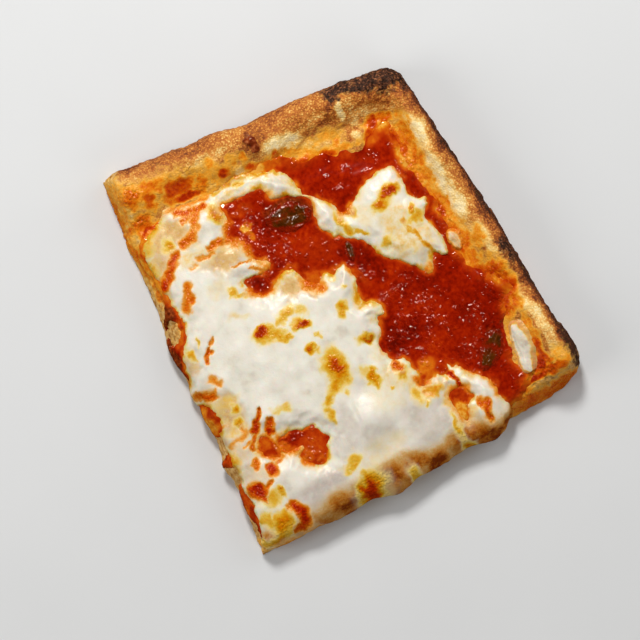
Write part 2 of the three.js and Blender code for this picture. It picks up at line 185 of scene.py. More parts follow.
# %% The height of the crust
DOUGH_HEIGHT = 12
BACK_RIM_HEIGHT = 19
RIGHT_RIM_HEIGHT = 20
BACK_FOOT = (25, 20)
RIGHT_FOOT = (21, 15)
BACK_CREST = 7
RIGHT_CREST = 5.5
RIM_ROUND = 6
RIM_SILHOUETTE = 0.42
RIM_TUCK = 2.2
CUT_EDGE_HEIGHT = 0.6
LEFT_CUT_FALL = 8
FRONT_CUT_FALL = 11
CRUST_BUBBLES = [
    (8, 65, 8, 6, 1.3), (-3, 72, 3, 5, 1.1), (36, 65, 4, 7, 1.2), (21, 58, 8, 4, 0.9), (37, 54, 6, 4, 1.2),
    (52, 71, 12, 6, 1.1), (-56, 73, 9, 6, 0.8), (-18, 66, 7, 4, 0.7), (-38, 67, 9, 4, -0.8),
    (26, 68, 4, 8, -1), (60, 30, 5, 14, 0.6), (62, -12, 5, 9, 0.7), (66, -30, 5, 7, -1),
    (68, -52, 6, 11, 0.9), (-66, 20, 4, 10, 0.5),
]


def humps(bumps, x, y):
    """A sum of oval bells, each at x, y with two radii and a height."""
    return sum(h * bell(np.hypot((x - bx) / rx, (y - by) / ry)) for bx, by, rx, ry, h in bumps)


def dough_waves(x, y):
    """Long low waves of the baked dough: two sines and a cosine in different directions."""
    crossed = 0.4 * np.sin(x / 4.3 + 0.7) * np.cos(y / 5.1)
    return crossed + 0.35 * np.sin((x + y) / 7.7) + 0.25 * np.cos((x - 1.6 * y) / 12.9)


def rim_rise(reach, crest, foot):
    """How far up a rim is: half a cosine, from 1 at the crest to 0 at the foot."""
    return 0.5 + 0.5 * np.cos(np.pi * clamp((reach - crest) / (foot - crest)))


def crust_height(s, t, x, y):
    """The rims rise from the dough to full height. Their outside is rounded by the square root of one
    less a square, and each cut side is one less a square."""
    left, right, front, back = distances(s, t)
    back_rise = rim_rise(back, BACK_CREST, mix(*BACK_FOOT, s))
    right_rise = rim_rise(right, RIGHT_CREST, mix(*RIGHT_FOOT, t))
    rise = 1 - (1 - back_rise) * (1 - right_rise)
    rim = mix(BACK_RIM_HEIGHT, RIGHT_RIM_HEIGHT, clamp(right_rise + 0.4 * s)) - 2 * back_rise * (1 - s) ** 2
    dough = DOUGH_HEIGHT + 0.5 * dough_waves(x, y)
    top = mix(dough, rim, rise) + rise * dough_waves(x, y) + humps(CRUST_BUBBLES, x, y)
    outside = 1.0
    for reach in (back, right):
        k = 1 - clamp(reach / RIM_ROUND)
        outside = outside * (RIM_SILHOUETTE + (1 - RIM_SILHOUETTE) * np.sqrt(1 - k * k))
    cut = 1.0
    for reach, fall in ((left, LEFT_CUT_FALL), (front, FRONT_CUT_FALL)):
        cut = cut * (1 - (1 - clamp(reach / fall)) ** 2)
    return CUT_EDGE_HEIGHT + (top - CUT_EDGE_HEIGHT) * outside * cut


print("dough near the middle is", round(float(crust_height(0.5, 0.5, 0.0, 0.0)), 1), "mm high")

# %% Points on the crust
def crust_point(s, t):
    """The crust's surface, in mm, for arrays of s and t."""
    plan = plan_point(s, t)
    return np.concatenate([plan, crust_height(s, t, plan[..., 0], plan[..., 1])[..., None]], axis=-1)


def crust_outward(s, t, step=0.004):
    """The unit direction out of the crust: the cross product of its slopes along s and along t."""
    along_s = crust_point(np.minimum(1, s + step), t) - crust_point(np.maximum(0, s - step), t)
    along_t = crust_point(s, np.minimum(1, t + step)) - crust_point(s, np.maximum(0, t - step))
    out = np.cross(along_s, along_t)
    return out / np.linalg.norm(out, axis=-1, keepdims=True)


half = np.array(0.5)
print("middle of the crust in mm:", crust_point(half, half).round(1).tolist())

# %% A grid on the crust
FINE_STEP = 0.42
WIDE_STEP = 0.62


def graded_lines(length, near, far):
    """Shares from 0 to 1: fine steps over a stretch at each end, and wider steps between."""
    start = np.linspace(0, near, round(near / FINE_STEP) + 1)
    middle = np.linspace(near, length - far, round((length - near - far) / WIDE_STEP) + 1)
    end = np.linspace(length - far, length, round(far / FINE_STEP) + 1)
    return np.concatenate([start, middle[1:-1], end]) / length


class Patch:
    """A grid on the crust: s and t, x and y, distances from the sides, surface points and directions."""

    def __init__(self, s_lines, t_lines):
        self.s, self.t = np.meshgrid(s_lines, t_lines)
        self.base = crust_point(self.s, self.t)
        self.out = crust_outward(self.s, self.t)
        self.x, self.y = self.base[..., 0], self.base[..., 1]
        self.left, self.right, self.front, self.back = distances(self.s, self.t)

    def lifted(self, height):
        """The surface that lies a height above the crust, measured along its outward direction."""
        return self.base + self.out * height[..., None]


dough = Patch(graded_lines(WIDTH, 9, 22), graded_lines(LENGTH, 11, 27))
print("crust grid:", dough.s.shape, "highest point", round(float(dough.base[..., 2].max()), 2), "mm")

# %% [markdown]
# Sauce and cheese end along wandering outlines. They could be cut out of the grid, but that leaves steps.
# So each outline is a closed curve through a few points, and what the later steps need from it is the
# signed distance: how far a place is inside (positive) or outside (negative). It gives each edge its
# rounding. Soft spots and strokes do the same for toasted places and stains.

# %% Points round the sauce and the cheese
SAUCE_OUTLINE = [
    (-66, 50), (-60, 57), (-40, 58), (-20, 59), (-5, 60.5), (5, 60), (15, 55), (25, 52.5), (35, 49.5),
    (40, 50.5), (44, 53.5), (49, 53.5), (51, 50), (51, 45), (51, 30), (53.5, 15), (54, -10), (56.5, -17),
    (60, -22), (64.5, -27), (64.5, -31), (59.5, -34), (58.5, -38), (55.5, -44), (54, -50), (53.5, -58),
    (57.5, -66), (50, -71.5), (44, -74.5), (10, -76.5), (-30, -77.5), (-68, -79), (-72.5, -75),
    (-72.5, -70), (-74.3, -66), (-74.3, -56), (-71, -50), (-73.5, -43), (-70, -36), (-73, -29),
    (-72.6, -17), (-69.5, -11), (-72.5, -3), (-73.2, 13), (-70, 19), (-66, 27), (-65, 40),
]
CHEESE_OUTLINE = [
    (-62.5, 30), (-63, 44), (-61, 55), (-52, 59), (-48, 63), (-42, 61), (-35, 60), (-27, 59.5), (-17, 62),
    (-7, 59.5), (2, 55), (5, 50), (5.8, 45), (10, 39), (15, 35), (18, 28.5), (21, 30), (26, 33.5), (36, 37),
    (44, 36.5), (46, 30), (44.8, 23), (50.5, 17.5), (47, 12), (49.5, 0), (47.5, -5), (43.5, -2.5),
    (38.5, -9.5), (33, -3), (25, 5), (19, 15), (12, 20.5), (6.5, 27), (6, 33), (7.5, 39), (4, 44),
    (-5, 46.5), (-9, 53), (-20, 53.5), (-26, 54), (-26, 46), (-29, 41), (-24, 36), (-24, 29), (-19, 25),
    (-21, 21.5), (-31, 22.5), (-30.5, 16), (-24, 13.5), (-19, 17), (-12, 17.5), (-9, 12), (-4, 8), (-1, 10),
    (3, 8), (7.5, 10), (9.5, 6), (9.5, 0), (7.3, -6.5), (13, -10), (13.5, -15.5), (10.4, -15.5), (10, -21),
    (6, -27), (8, -34), (13, -37), (15, -44), (14, -50), (20, -47.5), (25.5, -49), (26.8, -45.5), (33, -52),
    (39, -58), (41, -63), (40.2, -67), (42.5, -71), (42.5, -76), (42, -96), (-77, -96), (-73, -77),
    (-70, -68), (-69, -60), (-69.4, -52), (-69, -38), (-68.5, -31), (-66.2, -28), (-66, -19.5), (-69, -16),
    (-73.6, -14), (-74, -10), (-71.5, -6), (-69, -3), (-67.5, 4), (-64, 11), (-61.5, 17),
]
CHEESE_HOLES = [
    [(-49, -43.2), (-44.5, -41.8), (-40, -42.6), (-35, -43.6), (-31.8, -46.8), (-29, -50.6),
     (-31.8, -54), (-33.2, -58.4), (-35.4, -59.8), (-38.8, -58.4), (-41.6, -55.6), (-43, -52),
     (-41.2, -49.6), (-46.5, -48)],
    [(22, -58), (28, -57.5), (31, -63), (27, -66), (25, -69.5), (22.5, -65)],
    [(-57.5, -42), (-54, -38), (-51.5, -42), (-50.5, -48.5), (-54, -47.5)],
]
RIM_STRIP_OUTLINE = [
    (58.5, -42.8), (61.5, -43.5), (63.2, -49), (62.8, -55), (60.8, -60), (57.8, -65.8), (53.6, -63),
    (54.8, -55), (55.6, -48),
]
RIM_BIT_OUTLINE = [(53, 2.5), (56, 1), (56.5, -4), (54, -6.5), (51.5, -3), (51, 0.5)]
print("points round the sauce:", len(SAUCE_OUTLINE), "and round the cheese:", len(CHEESE_OUTLINE))

# %% Smooth outlines through the points
BLEND_ROUNDS = [[(0, 1), (1, 2), (2, 3)], [(0, 2), (1, 3)], [(1, 2)]]


def smooth_outline(points, steps=4):
    """A closed curve through the points. Each stretch blends the lines through its four nearest points,
    in three rounds, with knots as far apart as the square root of the distance, so that it never loops."""
    near = [np.roll(np.array(points, float), shift, axis=0) for shift in (1, 0, -1, -2)]
    knots = [np.zeros(len(points))]
    for a, b in zip(near, near[1:]):
        knots.append(knots[-1] + np.sqrt(np.linalg.norm(b - a, axis=1)))
    curve = []
    for share in np.arange(steps) / steps:
        here = mix(knots[1], knots[2], share)
        level = near
        for spans in BLEND_ROUNDS:
            shares = [((here - knots[i]) / (knots[j] - knots[i]))[:, None] for i, j in spans]
            level = [mix(a, b, k) for a, b, k in zip(level, level[1:], shares)]
        curve.append(level[0])
    return np.stack(curve, axis=1).reshape(-1, 2)


sauce_outline = smooth_outline(SAUCE_OUTLINE)
cheese_outlines = [smooth_outline(points) for points in [CHEESE_OUTLINE] + CHEESE_HOLES]
print("cheese outline:", len(cheese_outlines[0]), "points")


# %% Distances, spots and strokes
def path_distance(x, y, path):
    """Distance to the nearest stretch of a path: the place is dropped square onto each stretch."""
    nearest = np.full(x.shape, np.inf)
    for (ax, ay), (bx, by) in zip(path, path[1:]):
        dx, dy = bx - ax, by - ay
        along = clamp(((x - ax) * dx + (y - ay) * dy) / (dx * dx + dy * dy))
        nearest = np.minimum(nearest, (x - ax - along * dx) ** 2 + (y - ay - along * dy) ** 2)
    return np.sqrt(nearest)


def depth_inside(x, y, outline):
    """Signed distance to a closed outline: positive inside, where a line to the right crosses it an odd
    number of times."""
    closed = np.vstack([outline, outline[:1]])
    inside = np.zeros(x.shape, bool)
    for (ax, ay), (bx, by) in zip(closed, closed[1:]):
        if ay != by:
            inside ^= ((ay > y) != (by > y)) & (x < ax + (bx - ax) * (y - ay) / (by - ay))
    return np.where(inside, 1, -1) * path_distance(x, y, closed)


def shaken(patch, ragged, size, seed):
    """Plan places pushed about by waves of two sizes, so that an even shape drawn there comes out ragged."""
    moved = []
    for k, place in enumerate((patch.x, patch.y)):
        push = waves(patch.base, size, seed + k) + 0.5 * waves(patch.base, size / 2.3, seed + k + 2)
        moved.append(place + ragged * push)
    return moved


def spots(patch, places, ragged, size, seed, soft=1.0):
    """The strongest of some oval spots. Each has a middle, two radii, a strength and, where it lies
    askew, a turn in degrees. It is half as strong at its radius, and falls from all to nothing over soft
    times the radius."""
    px, py = shaken(patch, ragged, size, seed)
    field = np.zeros(patch.x.shape)
    for x, y, along, across, strength, *turn in places:
        angle = math.radians(turn[0]) if turn else 0.0
        u = ((px - x) * math.cos(angle) + (py - y) * math.sin(angle)) / along
        v = ((py - y) * math.cos(angle) - (px - x) * math.sin(angle)) / across
        field = np.maximum(field, strength * ease((1 - np.hypot(u, v)) / soft + 0.5))
    return field


def strokes(patch, lines, ragged=0.5, size=2.0, seed=5, soft=1.8):
    """The strongest of some strokes. Each has a path, a half width and a strength, and it falls off
    across its path as a spot does from its middle."""
    px, py = shaken(patch, ragged, size, seed)
    field = np.zeros(patch.x.shape)
    for path, half, strength in lines:
        field = np.maximum(field, strength * ease((1 - path_distance(px, py, path) / half) / soft + 0.5))
    return field


middle = np.zeros(1)
print("the middle lies", depth_inside(middle, middle, sauce_outline).round(1)[0], "mm inside the sauce")

# %% [markdown]
# Every layer becomes a mesh in the same way. A Solidify modifier could give a sheet its thickness, but
# here the underside follows the layer below, so top and bottom are two grids of points with the same rows
# and columns. Only some cells of the grid are kept, and wherever a kept cell has no kept neighbour a wall
# joins top and bottom, so the piece is one closed skin. What a place looks like, such as how toasted it
# is, goes into the mesh as attributes, which the materials read.

# %% Which cells of a grid are kept
def largest_group(cells):
    """The largest group of cells that hang together by their sides. Each group is grown from its first
    cell by taking in the cells beside it until it stays the same."""
    best = np.zeros_like(cells)
    rest = cells.copy()
    while rest.sum() > best.sum():
        group = np.zeros_like(cells)
        group[np.unravel_index(np.argmax(rest), rest.shape)] = True
        size = 0
        while size != group.sum():
            size = group.sum()
            ringed = np.pad(group, 1)
            beside = ringed[:-2, 1:-1] | ringed[2:, 1:-1] | ringed[1:-1, :-2] | ringed[1:-1, 2:]
            group |= beside & rest
        rest &= ~group
        if size > best.sum():
            best = group
    return best


def whole_cells(inside):
    """The grid cells whose four corners are all inside, less those that touch only at a corner, and
    only the largest group of them."""
    keep = inside[:-1, :-1] & inside[:-1, 1:] & inside[1:, :-1] & inside[1:, 1:]
    a, b, c, d = keep[:-1, :-1], keep[:-1, 1:], keep[1:, :-1], keep[1:, 1:]
    crossed = np.ones_like(a)
    while crossed.any():
        crossed = (a & d & ~b & ~c) | (b & c & ~a & ~d)
        a[crossed] = False
        b[crossed] = False
    return largest_group(keep)


print("a grid of 4 by 4 points has", int(whole_cells(np.ones((4, 4), bool)).sum()), "whole cells")

# %% Faces of a closed sheet
def sheet_faces(keep):
    """Faces of a closed sheet over kept cells: the top, the bottom turned over, and walls at the edge."""
    rows, columns = keep.shape[0] + 1, keep.shape[1] + 1
    index = np.arange(rows * columns).reshape(rows, columns)
    low = rows * columns
    corners = [index[:-1, :-1], index[:-1, 1:], index[1:, 1:], index[1:, :-1]]
    a, b, c, d = corners
    faces = [np.stack([a, b, c, d], -1)[keep], np.stack([a, d, c, b], -1)[keep] + low]
    ringed = np.pad(keep, 1)
    beside = [ringed[:-2, 1:-1], ringed[1:-1, 2:], ringed[2:, 1:-1], ringed[1:-1, :-2]]
    for side, neighbour in enumerate(beside):
        open_edge = keep & ~neighbour
        first, second = corners[side][open_edge], corners[(side + 1) % 4][open_edge]
        faces.append(np.stack([first + low, second + low, second, first], -1))
    return np.concatenate(faces)


print("a closed sheet of 3 by 3 cells has", len(sheet_faces(np.ones((3, 3), bool))), "faces")

# %% From points and faces to a piece
def make_piece(name, points, faces, fields, finish, slot, *nodes):
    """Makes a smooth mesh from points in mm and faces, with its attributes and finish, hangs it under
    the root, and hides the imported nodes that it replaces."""
    used, faces = np.unique(faces, return_inverse=True)
    mesh = bpy.data.meshes.new(name)
    mesh.from_pydata((points[used] * MM).tolist(), [], faces.reshape(-1, 4).tolist())
    mesh.validate()
    mesh.shade_smooth()
    for field, values in fields.items():
        layer = mesh.attributes.new(field, "FLOAT", "POINT")
        layer.data.foreach_set("value", values.ravel()[used].astype(np.float32))
    mesh.materials.append(finish)
    piece = bpy.data.objects.new(name, mesh)
    bpy.context.scene.collection.objects.link(piece)
    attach(piece, "root")
    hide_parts(*nodes)
    print(name, "has", 2 * len(mesh.polygons), "triangles")


def make_sheet(name, top, bottom, inside, fields, finish, slot, *nodes):
    """A closed piece between two grids of points, where inside is true."""
    points = np.concatenate([top.reshape(-1, 3), bottom.reshape(-1, 3)])
    both = {field: np.tile(values.ravel(), 2) for field, values in fields.items()}
    make_piece(name, points, sheet_faces(whole_cells(inside)), both, finish, slot, *nodes)


# %% [markdown]
# A finish is a small graph of nodes. It could be joined up by hand in the editor. This class adds one
# node at a time and hands back its output instead, so a material below reads like a recipe: noise,
# stretched, ramped to colours, laid over the last. Colours are written as they look on a screen, from 0
# to 255, and turned into the linear light that Blender reckons with.

# %% A recipe book for materials
def screen_colour(red, green, blue):
    """Linear colour: below a small threshold a division by 12.92, above it a power of 2.4."""
    shares = [v / 255 for v in (red, green, blue)]
    return tuple(v / 12.92 if v <= 0.04045 else ((v + 0.055) / 1.055) ** 2.4 for v in shares) + (1.0,)


class Finish:
    """A material in the making. Each method adds one node and gives back its output socket."""

    def __init__(self, name):
        self.material = bpy.data.materials.new(name)
        self.material.use_nodes = True
        self.tree = self.material.node_tree
        self.shader = self.tree.nodes["Principled BSDF"]
        self.place = self.node("ShaderNodeTexCoord").outputs["Object"]

    def node(self, kind, values=None, **settings):
        """A new node of a kind, with its settings made and values put into its sockets."""
        made = self.tree.nodes.new(kind)
        for key, value in settings.items():
            setattr(made, key, value)
        for key, value in (values or {}).items():
            self.put(made.inputs[key], value)
        return made

    def put(self, socket, value):
        """Joins another node's output to a socket, or sets the socket to a plain value."""
        if isinstance(value, bpy.types.NodeSocket):
            self.tree.links.new(value, socket)
        else:
            socket.default_value = value

    def field(self, name):
        """What one of the mesh's attributes says at each place."""
        return self.node("ShaderNodeAttribute", attribute_name=name).outputs["Fac"]

    def stretch(self, value, low, high, start=0.0, end=1.0):
        """The value carried from the range low to high over to the range start to end, and held there."""
        given = {"Value": value, "From Min": low, "From Max": high, "To Min": start, "To Max": end}
        return self.node("ShaderNodeMapRange", given, clamp=True).outputs["Result"]

    def noise(self, size, detail, seed, low=0.3, high=0.7):
        """Soft random blotches of a size in mm, stretched so that what is low becomes 0 and high 1."""
        given = {"Vector": self.place, "W": seed, "Scale": 1 / (size * MM), "Detail": detail}
        made = self.node("ShaderNodeTexNoise", given, noise_dimensions="4D")
        return self.stretch(made.outputs["Fac"], low, high)

    def domes(self, size, reach=0.6):
        """Small round domes about a size apart: one less the square of the distance to each middle."""
        given = {"Vector": self.place, "Scale": 1 / (size * MM)}
        gap = self.node("ShaderNodeTexVoronoi", given).outputs["Distance"]
        return self.stretch(self.product(gap, gap), 0.0, reach * reach, 1.0, 0.0)

    def sum(self, *terms):
        """The sum of some terms, each a socket or a pair of a socket and a factor."""
        total = 0.0
        for term in terms:
            value, factor = term if isinstance(term, tuple) else (term, 1.0)
            made = self.node("ShaderNodeMath", operation="MULTIPLY_ADD")
            for socket, given in zip(made.inputs, (value, factor, total)):
                self.put(socket, given)
            total = made.outputs[0]
        return total

    def product(self, first, second):
        """One value times another, held between 0 and 1."""
        made = self.node("ShaderNodeMath", operation="MULTIPLY", use_clamp=True)
        self.put(made.inputs[0], first)
        self.put(made.inputs[1], second)
        return made.outputs[0]

    def broken(self, value, *noises):
        """A field broken up by noises, each with its share: the field times one plus their sum about 0."""
        factor = self.sum(*noises, 1 - sum(share for _, share in noises) / 2)
        return self.product(value, factor)

    def ramp(self, value, *stops):
        """Colours along a value, blended straight between stops, each a place and a screen colour."""
        made = self.node("ShaderNodeValToRGB", {"Fac": value})
        elements = made.color_ramp.elements
        while len(elements) < len(stops):
            elements.new(1.0)
        for element, (place, *colour) in zip(elements, stops):
            element.position = place
            element.color = screen_colour(*colour)
        return made.outputs["Color"]

    def laid_over(self, below, amount, low, high, above):
        """One colour over another: none of it where the amount is low, and nothing else where it is high."""
        made = self.node("ShaderNodeMix", data_type="RGBA")
        for index, given in ((0, self.stretch(amount, low, high)), (6, below), (7, above)):
            self.put(made.inputs[index], given)
        return made.outputs[2]

    def bump(self, depth, strength, *terms):
        """Tilts the light on the surface as if it rose by the sum of the terms times a depth in mm."""
        given = {"Height": self.sum(*terms), "Distance": depth * MM, "Strength": strength}
        self.put(self.shader.inputs["Normal"], self.node("ShaderNodeBump", given).outputs["Normal"])

    def finished(self, **sockets):
        """Puts each value into the shader's socket of that name, and gives back the material."""
        for name, value in sockets.items():
            self.put(self.shader.inputs[name.replace("_", " ").title().replace("Ior", "IOR")], value)
        print("finish:", self.material.name, "with", len(self.tree.nodes), "nodes")
        return self.material


print("a middle grey of 128 is", round(screen_colour(128, 128, 128)[0], 3), "in linear light")

# %% [markdown]
# Baked crust is a scale of browns. Where flour dried it is pale, most of the rim is a mottled gold, the
# outer edge is brown, and the corner that stood nearest the heat is charred. Sauce and oil have stained
# it orange along the toppings. On the cut sides the pale crumb shows, with open pores. Noise alone would
# spread all this evenly, so seven attributes say where each is strong, and noise breaks them into grains.

# %% The finish of the crust
def crust_finish():
    """Browns by the bake, then crumb, stains, scabs and soot, each laid over the last where its
    attribute is strong. The grain's domes are painted paler on top and darker between, as painted light
    and shade. Powder makes it rough where it is dry, and drops of fat where it is wet."""
    made = Finish("baked_crust")
    bake, char, stain = made.field("bake"), made.field("char"), made.field("stain")
    crumb, wet = made.field("crumb"), made.field("wet")
    fine, powder = made.noise(0.55, 2, 1), made.noise(1.3, 3, 2)
    mottle, blotch = made.noise(4.5, 3, 3), made.noise(1.9, 3, 5)
    grain = made.product(made.domes(0.95), made.sum((wet, -1.0), 1.0))
    # Painted light and shade: grain domes make the colour paler on their tops and darker between; fine and
    # powder noise are random speckle.
    speckle_and_grain_light = made.sum((fine, 0.4), (powder, 0.35), (grain, -0.6))
    level = made.sum(bake, (mottle, 0.26), (speckle_and_grain_light, made.sum((wet, -0.42), 0.5)), -0.12)
    browns = made.ramp(
        level, (0.0, 248, 226, 174), (0.2, 237, 198, 120), (0.4, 211, 141, 58), (0.58, 180, 99, 34),
        (0.78, 122, 56, 20), (1.0, 62, 30, 16),
    )
    pores = made.noise(1.7, 3, 4)
    inside = made.ramp(pores, (0.0, 140, 78, 18), (0.35, 198, 142, 66), (1.0, 228, 192, 124))
    colour = made.laid_over(browns, crumb, 0.0, 1.0, inside)
    stained = made.sum(stain, (blotch, 0.3), (fine, 0.07), -0.19)
    oranges = made.ramp(
        stained, (0.0, 242, 196, 98), (0.3, 238, 172, 54), (0.5, 226, 134, 20), (0.7, 208, 92, 4),
        (0.87, 190, 62, 2), (1.0, 160, 36, 2),
    )
    colour = made.laid_over(colour, stained, 0.08, 0.4, oranges)
    scab = made.ramp(blotch, (0.0, 80, 22, 6), (0.5, 122, 44, 14), (1.0, 184, 104, 56))
    colour = made.laid_over(colour, made.field("blister"), 0.25, 0.7, scab)
    ash = made.noise(0.9, 3, 6)
    soot = made.ramp(ash, (0.0, 20, 9, 6), (0.45, 50, 24, 14), (0.7, 90, 48, 28), (1.0, 164, 104, 66))
    burnt = made.product(made.sum(char, (powder, 0.5), (blotch, 0.35), -0.4), made.stretch(char, 0.02, 0.3))
    colour = made.laid_over(colour, burnt, 0.16, 0.72, soot)
    dusty = made.sum((fine, 0.3), (powder, 0.4))
    drops = made.product(made.domes(1.1), wet)
    beads = made.product(made.domes(1.5, 0.66), made.field("shine"))
    made.bump(0.5, 0.9, (dusty, made.sum((wet, -0.8), 1.0)), (grain, 0.5), (drops, 0.14), (beads, 1.1))
    return made.finished(
        base_color=colour, roughness=made.stretch(made.sum(wet, (fine, 0.3)), 0.1, 1.1, 0.78, 0.22),
        specular_ior_level=0.5, specular_tint=screen_colour(255, 232, 204),
    )


baked_crust = crust_finish()

# %% [markdown]
# The crust piece is the patch itself, with relief pushed out along its surface. It is calm where sauce or
# cheese covers it, rough and grainy on the rims, cracked where it is charred and full of pores on the cut
# sides. Displacement in the material would be lost when the piece is passed on, so all of it is in the
# mesh. Where the crust is browned, burnt and stained comes first, as spots.

# %% Where the crust is pale, brown and burnt, and where crease shade is painted
PALE_PLACES = [
    (7.5, 66, 8, 3.6, 1, -8), (20.5, 58.5, 6.5, 3.4, 0.45, -15), (35, 66.5, 1.9, 4.2, 1, -12),
    (38.5, 61.5, 3, 2.6, 0.45), (46, 62, 6, 3, 0.46), (22, 68, 9, 3, 0.26), (40, 67, 4, 3, 0.2),
    (36.5, 54.5, 2.4, 2.2, 0.9), (-12.5, 63, 2, 2, 0.8), (58.5, 58.5, 4, 2.6, 0.4), (-21, 74, 9, 3.2, 0.5),
    (-25, 64, 3, 2, 0.6), (59.8, 44, 3.2, 9, 0.95, 3), (59.5, 27, 3.6, 9, 1, 2), (60.5, 12, 3.4, 10, 1, 4),
    (60, 0, 3.2, 5, 0.6), (64.5, -6, 2.6, 8, 0.9, 6), (69, -46, 2.4, 8, 0.7, 5), (70, -57, 2.6, 6, 0.65, 5),
    (66.5, -38, 2, 5, 0.6, 5), (-63, 52, 3, 6, 0.4),
]
BROWN_PLACES = [
    (67.5, 28, 1.6, 10, 0.2, 6), (69, 8, 2, 12, 0.3, 4), (72.5, -33, 1.6, 10, 0.35, 5),
    (75, -62, 2.6, 9, 0.6, 5), (67.5, 16, 1.8, 22, 0.12, 7), (72, -30, 2.2, 20, 0.16, 5),
    (-59.5, 78, 2, 1.4, 0.6), (-28, 68, 0.9, 1.2, 0.6), (-8, 69, 2.5, 3, 0.3), (57, 61, 4, 3, 0.1),
    (62, 58, 2.2, 5, 0.2), (-60, 84, 8, 2.2, 0.3, -4), (-42, 79, 20, 2.4, 0.12, -3),
    (19, 70, 1.2, 2.6, 0.2, 30), (63.5, -69.5, 3, 1.6, 0.5), (72, -67, 3, 3, 0.4),
]
CHAR_PLACES = [
    (39, 75, 7.5, 3, 0.85, -8), (50, 72, 8, 3.8, 1, -12), (57, 68.5, 4.5, 3, 0.9, 10),
    (60, 72, 4, 4.5, 0.85), (54, 76, 9, 1.6, 0.8, -3), (62.8, 67, 2.2, 5.5, 0.72), (64, 60, 1, 4, 0.4),
    (57.5, 64, 3, 1.6, 0.5), (35, 73, 3.4, 3, 0.7, 40), (70.5, -15, 2.4, 6, 0.72, 3),
    (75.2, -68, 1.5, 3.5, 0.75), (71.4, 3, 0.8, 10, 0.4, 5), (74.5, -50, 0.9, 12, 0.4, 5),
    (-68.4, 56, 0.7, 6, 0.3),
]
BLISTER = [(-3, 71, 1.8, 3.8, 1, 5), (-4, 72.5, 2.4, 1.8, 1)]
# Painted shade: darker lines along the dip between the back rim's bubbles, where shade falls.
CREASE_SHADE_LINES = [
    ([(35.5, 74), (31.5, 69.5), (27, 65.5), (20, 62.8)], 1.3, 0.42), ([(30.5, 70), (33, 66)], 0.9, 0.3),
]
print("baked places:", len(PALE_PLACES) + len(BROWN_PLACES) + len(CHAR_PLACES) + len(BLISTER))

# %% Where the crust is stained and where fat shines on it
CRUST_STAINS = [
    (-38.5, 68.8, 7.5, 3.8, 0.88), (-36.5, 64, 8, 2.2, 1, -3), (-51.5, 69.5, 2.8, 4.4, 0.78),
    (-44, 66, 3, 4, 0.62), (-29, 66, 3.5, 3.5, 0.62), (-38, 68, 9, 5, 0.5), (-18.5, 65, 3.2, 1.8, 0.9),
    (-57.5, 73.5, 5.5, 5, 0.66), (-46, 71, 16, 8, 0.34), (-63, 76, 5, 10, 0.42),
    (-59, 62, 6.5, 4.5, 0.68, 12), (-56, 58.6, 6.5, 1.5, 0.9, 12), (-63.5, 72, 2.5, 10, 0.42),
    (-64.5, 77, 2.5, 5, 0.3), (-48, 74, 8, 3.5, 0.6), (-30, 71, 7, 2.4, 0.36), (-22, 71, 2.5, 2.5, 0.45),
    (-14, 69, 4, 3, 0.42), (-8.5, 63.5, 2.2, 2.4, 0.78), (-8.5, 68, 2, 2.6, 0.6), (-3, 61, 4.5, 2, 0.4),
    (3, 61.5, 3, 1.6, 0.7), (12, 61.3, 4, 1.2, 0.45, -12), (28.5, 56, 2.4, 2.4, 0.5), (31, 53, 3, 2, 0.5),
    (36.5, 51.5, 4, 1.4, 0.36), (44.5, 56.5, 3.6, 3, 0.95), (50, 56.5, 4, 2.4, 0.7), (48, 52, 4, 3, 0.9),
    (56, 54, 3, 3.4, 0.4), (58, 50, 2.4, 4, 0.4), (54, 46, 3.6, 6, 0.62), (54.5, 36, 3.6, 6, 0.6),
    (54.5, 27, 2.8, 7, 0.56), (56, 15, 2, 7, 0.55, 5), (57.5, 6, 2.4, 6, 0.42), (57, -4, 4, 5, 0.6),
    (62.5, -5, 3, 4, 0.5), (57, -12, 3, 5, 0.62, 5), (62, -15, 4, 4, 0.35), (62, -19.5, 5, 2.6, 0.85, -20),
    (61, -27, 4.4, 7, 0.95), (62.5, -24, 5, 3.4, 0.82), (64, -29, 4, 2.4, 1), (67.5, -25, 1.6, 5, 0.45, 10),
    (60.5, -34, 2.8, 4.5, 0.88), (64, -36, 3.4, 5, 0.64, 5), (64.5, -47, 1.6, 7, 0.5, 3),
    (58.5, -53, 5.5, 13, 0.46, 3), (63.5, -57, 2, 6, 0.85), (62, -63, 4.5, 3.4, 0.98),
    (58, -67.5, 9, 2.2, 1, 3), (66, -67, 6, 2.4, 0.8, 5), (70, -63, 3, 4, 0.42), (58, -74, 16, 2, 0.5, 2),
    (50, -71, 6, 2, 0.6), (-66, 48, 2.8, 9, 0.66), (-65, 36, 2.2, 8, 0.6), (-67, 43, 2, 1.5, 0.6),
    (-65, 31, 1.4, 5, 0.6, -10), (-68, 58, 2, 8, 0.6), (-67, 72, 3, 16, 0.62, 3), (58, -76, 20, 4, 0.7),
    (70, -74, 8, 3, 0.66), (-22, 66, 9, 6, 0.4), (8, 61, 12, 3, 0.4, -10), (25, 60, 9, 4, 0.36, -10),
    (-74, -78, 2.5, 3, 0.4),
]
CRUST_SHINE_PLACES = [
    (-58, 75, 5, 3.5, 1), (-33, 74, 1.6, 1.4, 1), (-58, 64, 4, 2, 1), (-46, 70, 1.2, 1.2, 1),
    (-32, 65, 3, 1.6, 0.9), (-26, 64.5, 2, 1.4, 0.9), (58.5, -32, 2.4, 9, 0.9), (60, -65, 8, 4, 0.8),
    (54, 8, 1.6, 10, 0.8), (52, 36, 2.4, 10, 0.7), (50, 52, 3, 3, 0.6), (62, -21, 4, 3, 0.6),
    (59, 60, 4, 4, 0.5), (58, -73, 14, 2, 0.5),
]
print("stained places:", len(CRUST_STAINS), "and shiny places:", len(CRUST_SHINE_PLACES))

# %% Where sauce and cheese end
SAUCE_BARE_PLACES = [
    (-66, 14.5, 3.4, 6.5, 1), (-71, -47.5, 3, 3.2, 1), (-71, -34.5, 3, 3, 1), (-67.5, 34, 2.2, 8, 0.5),
]


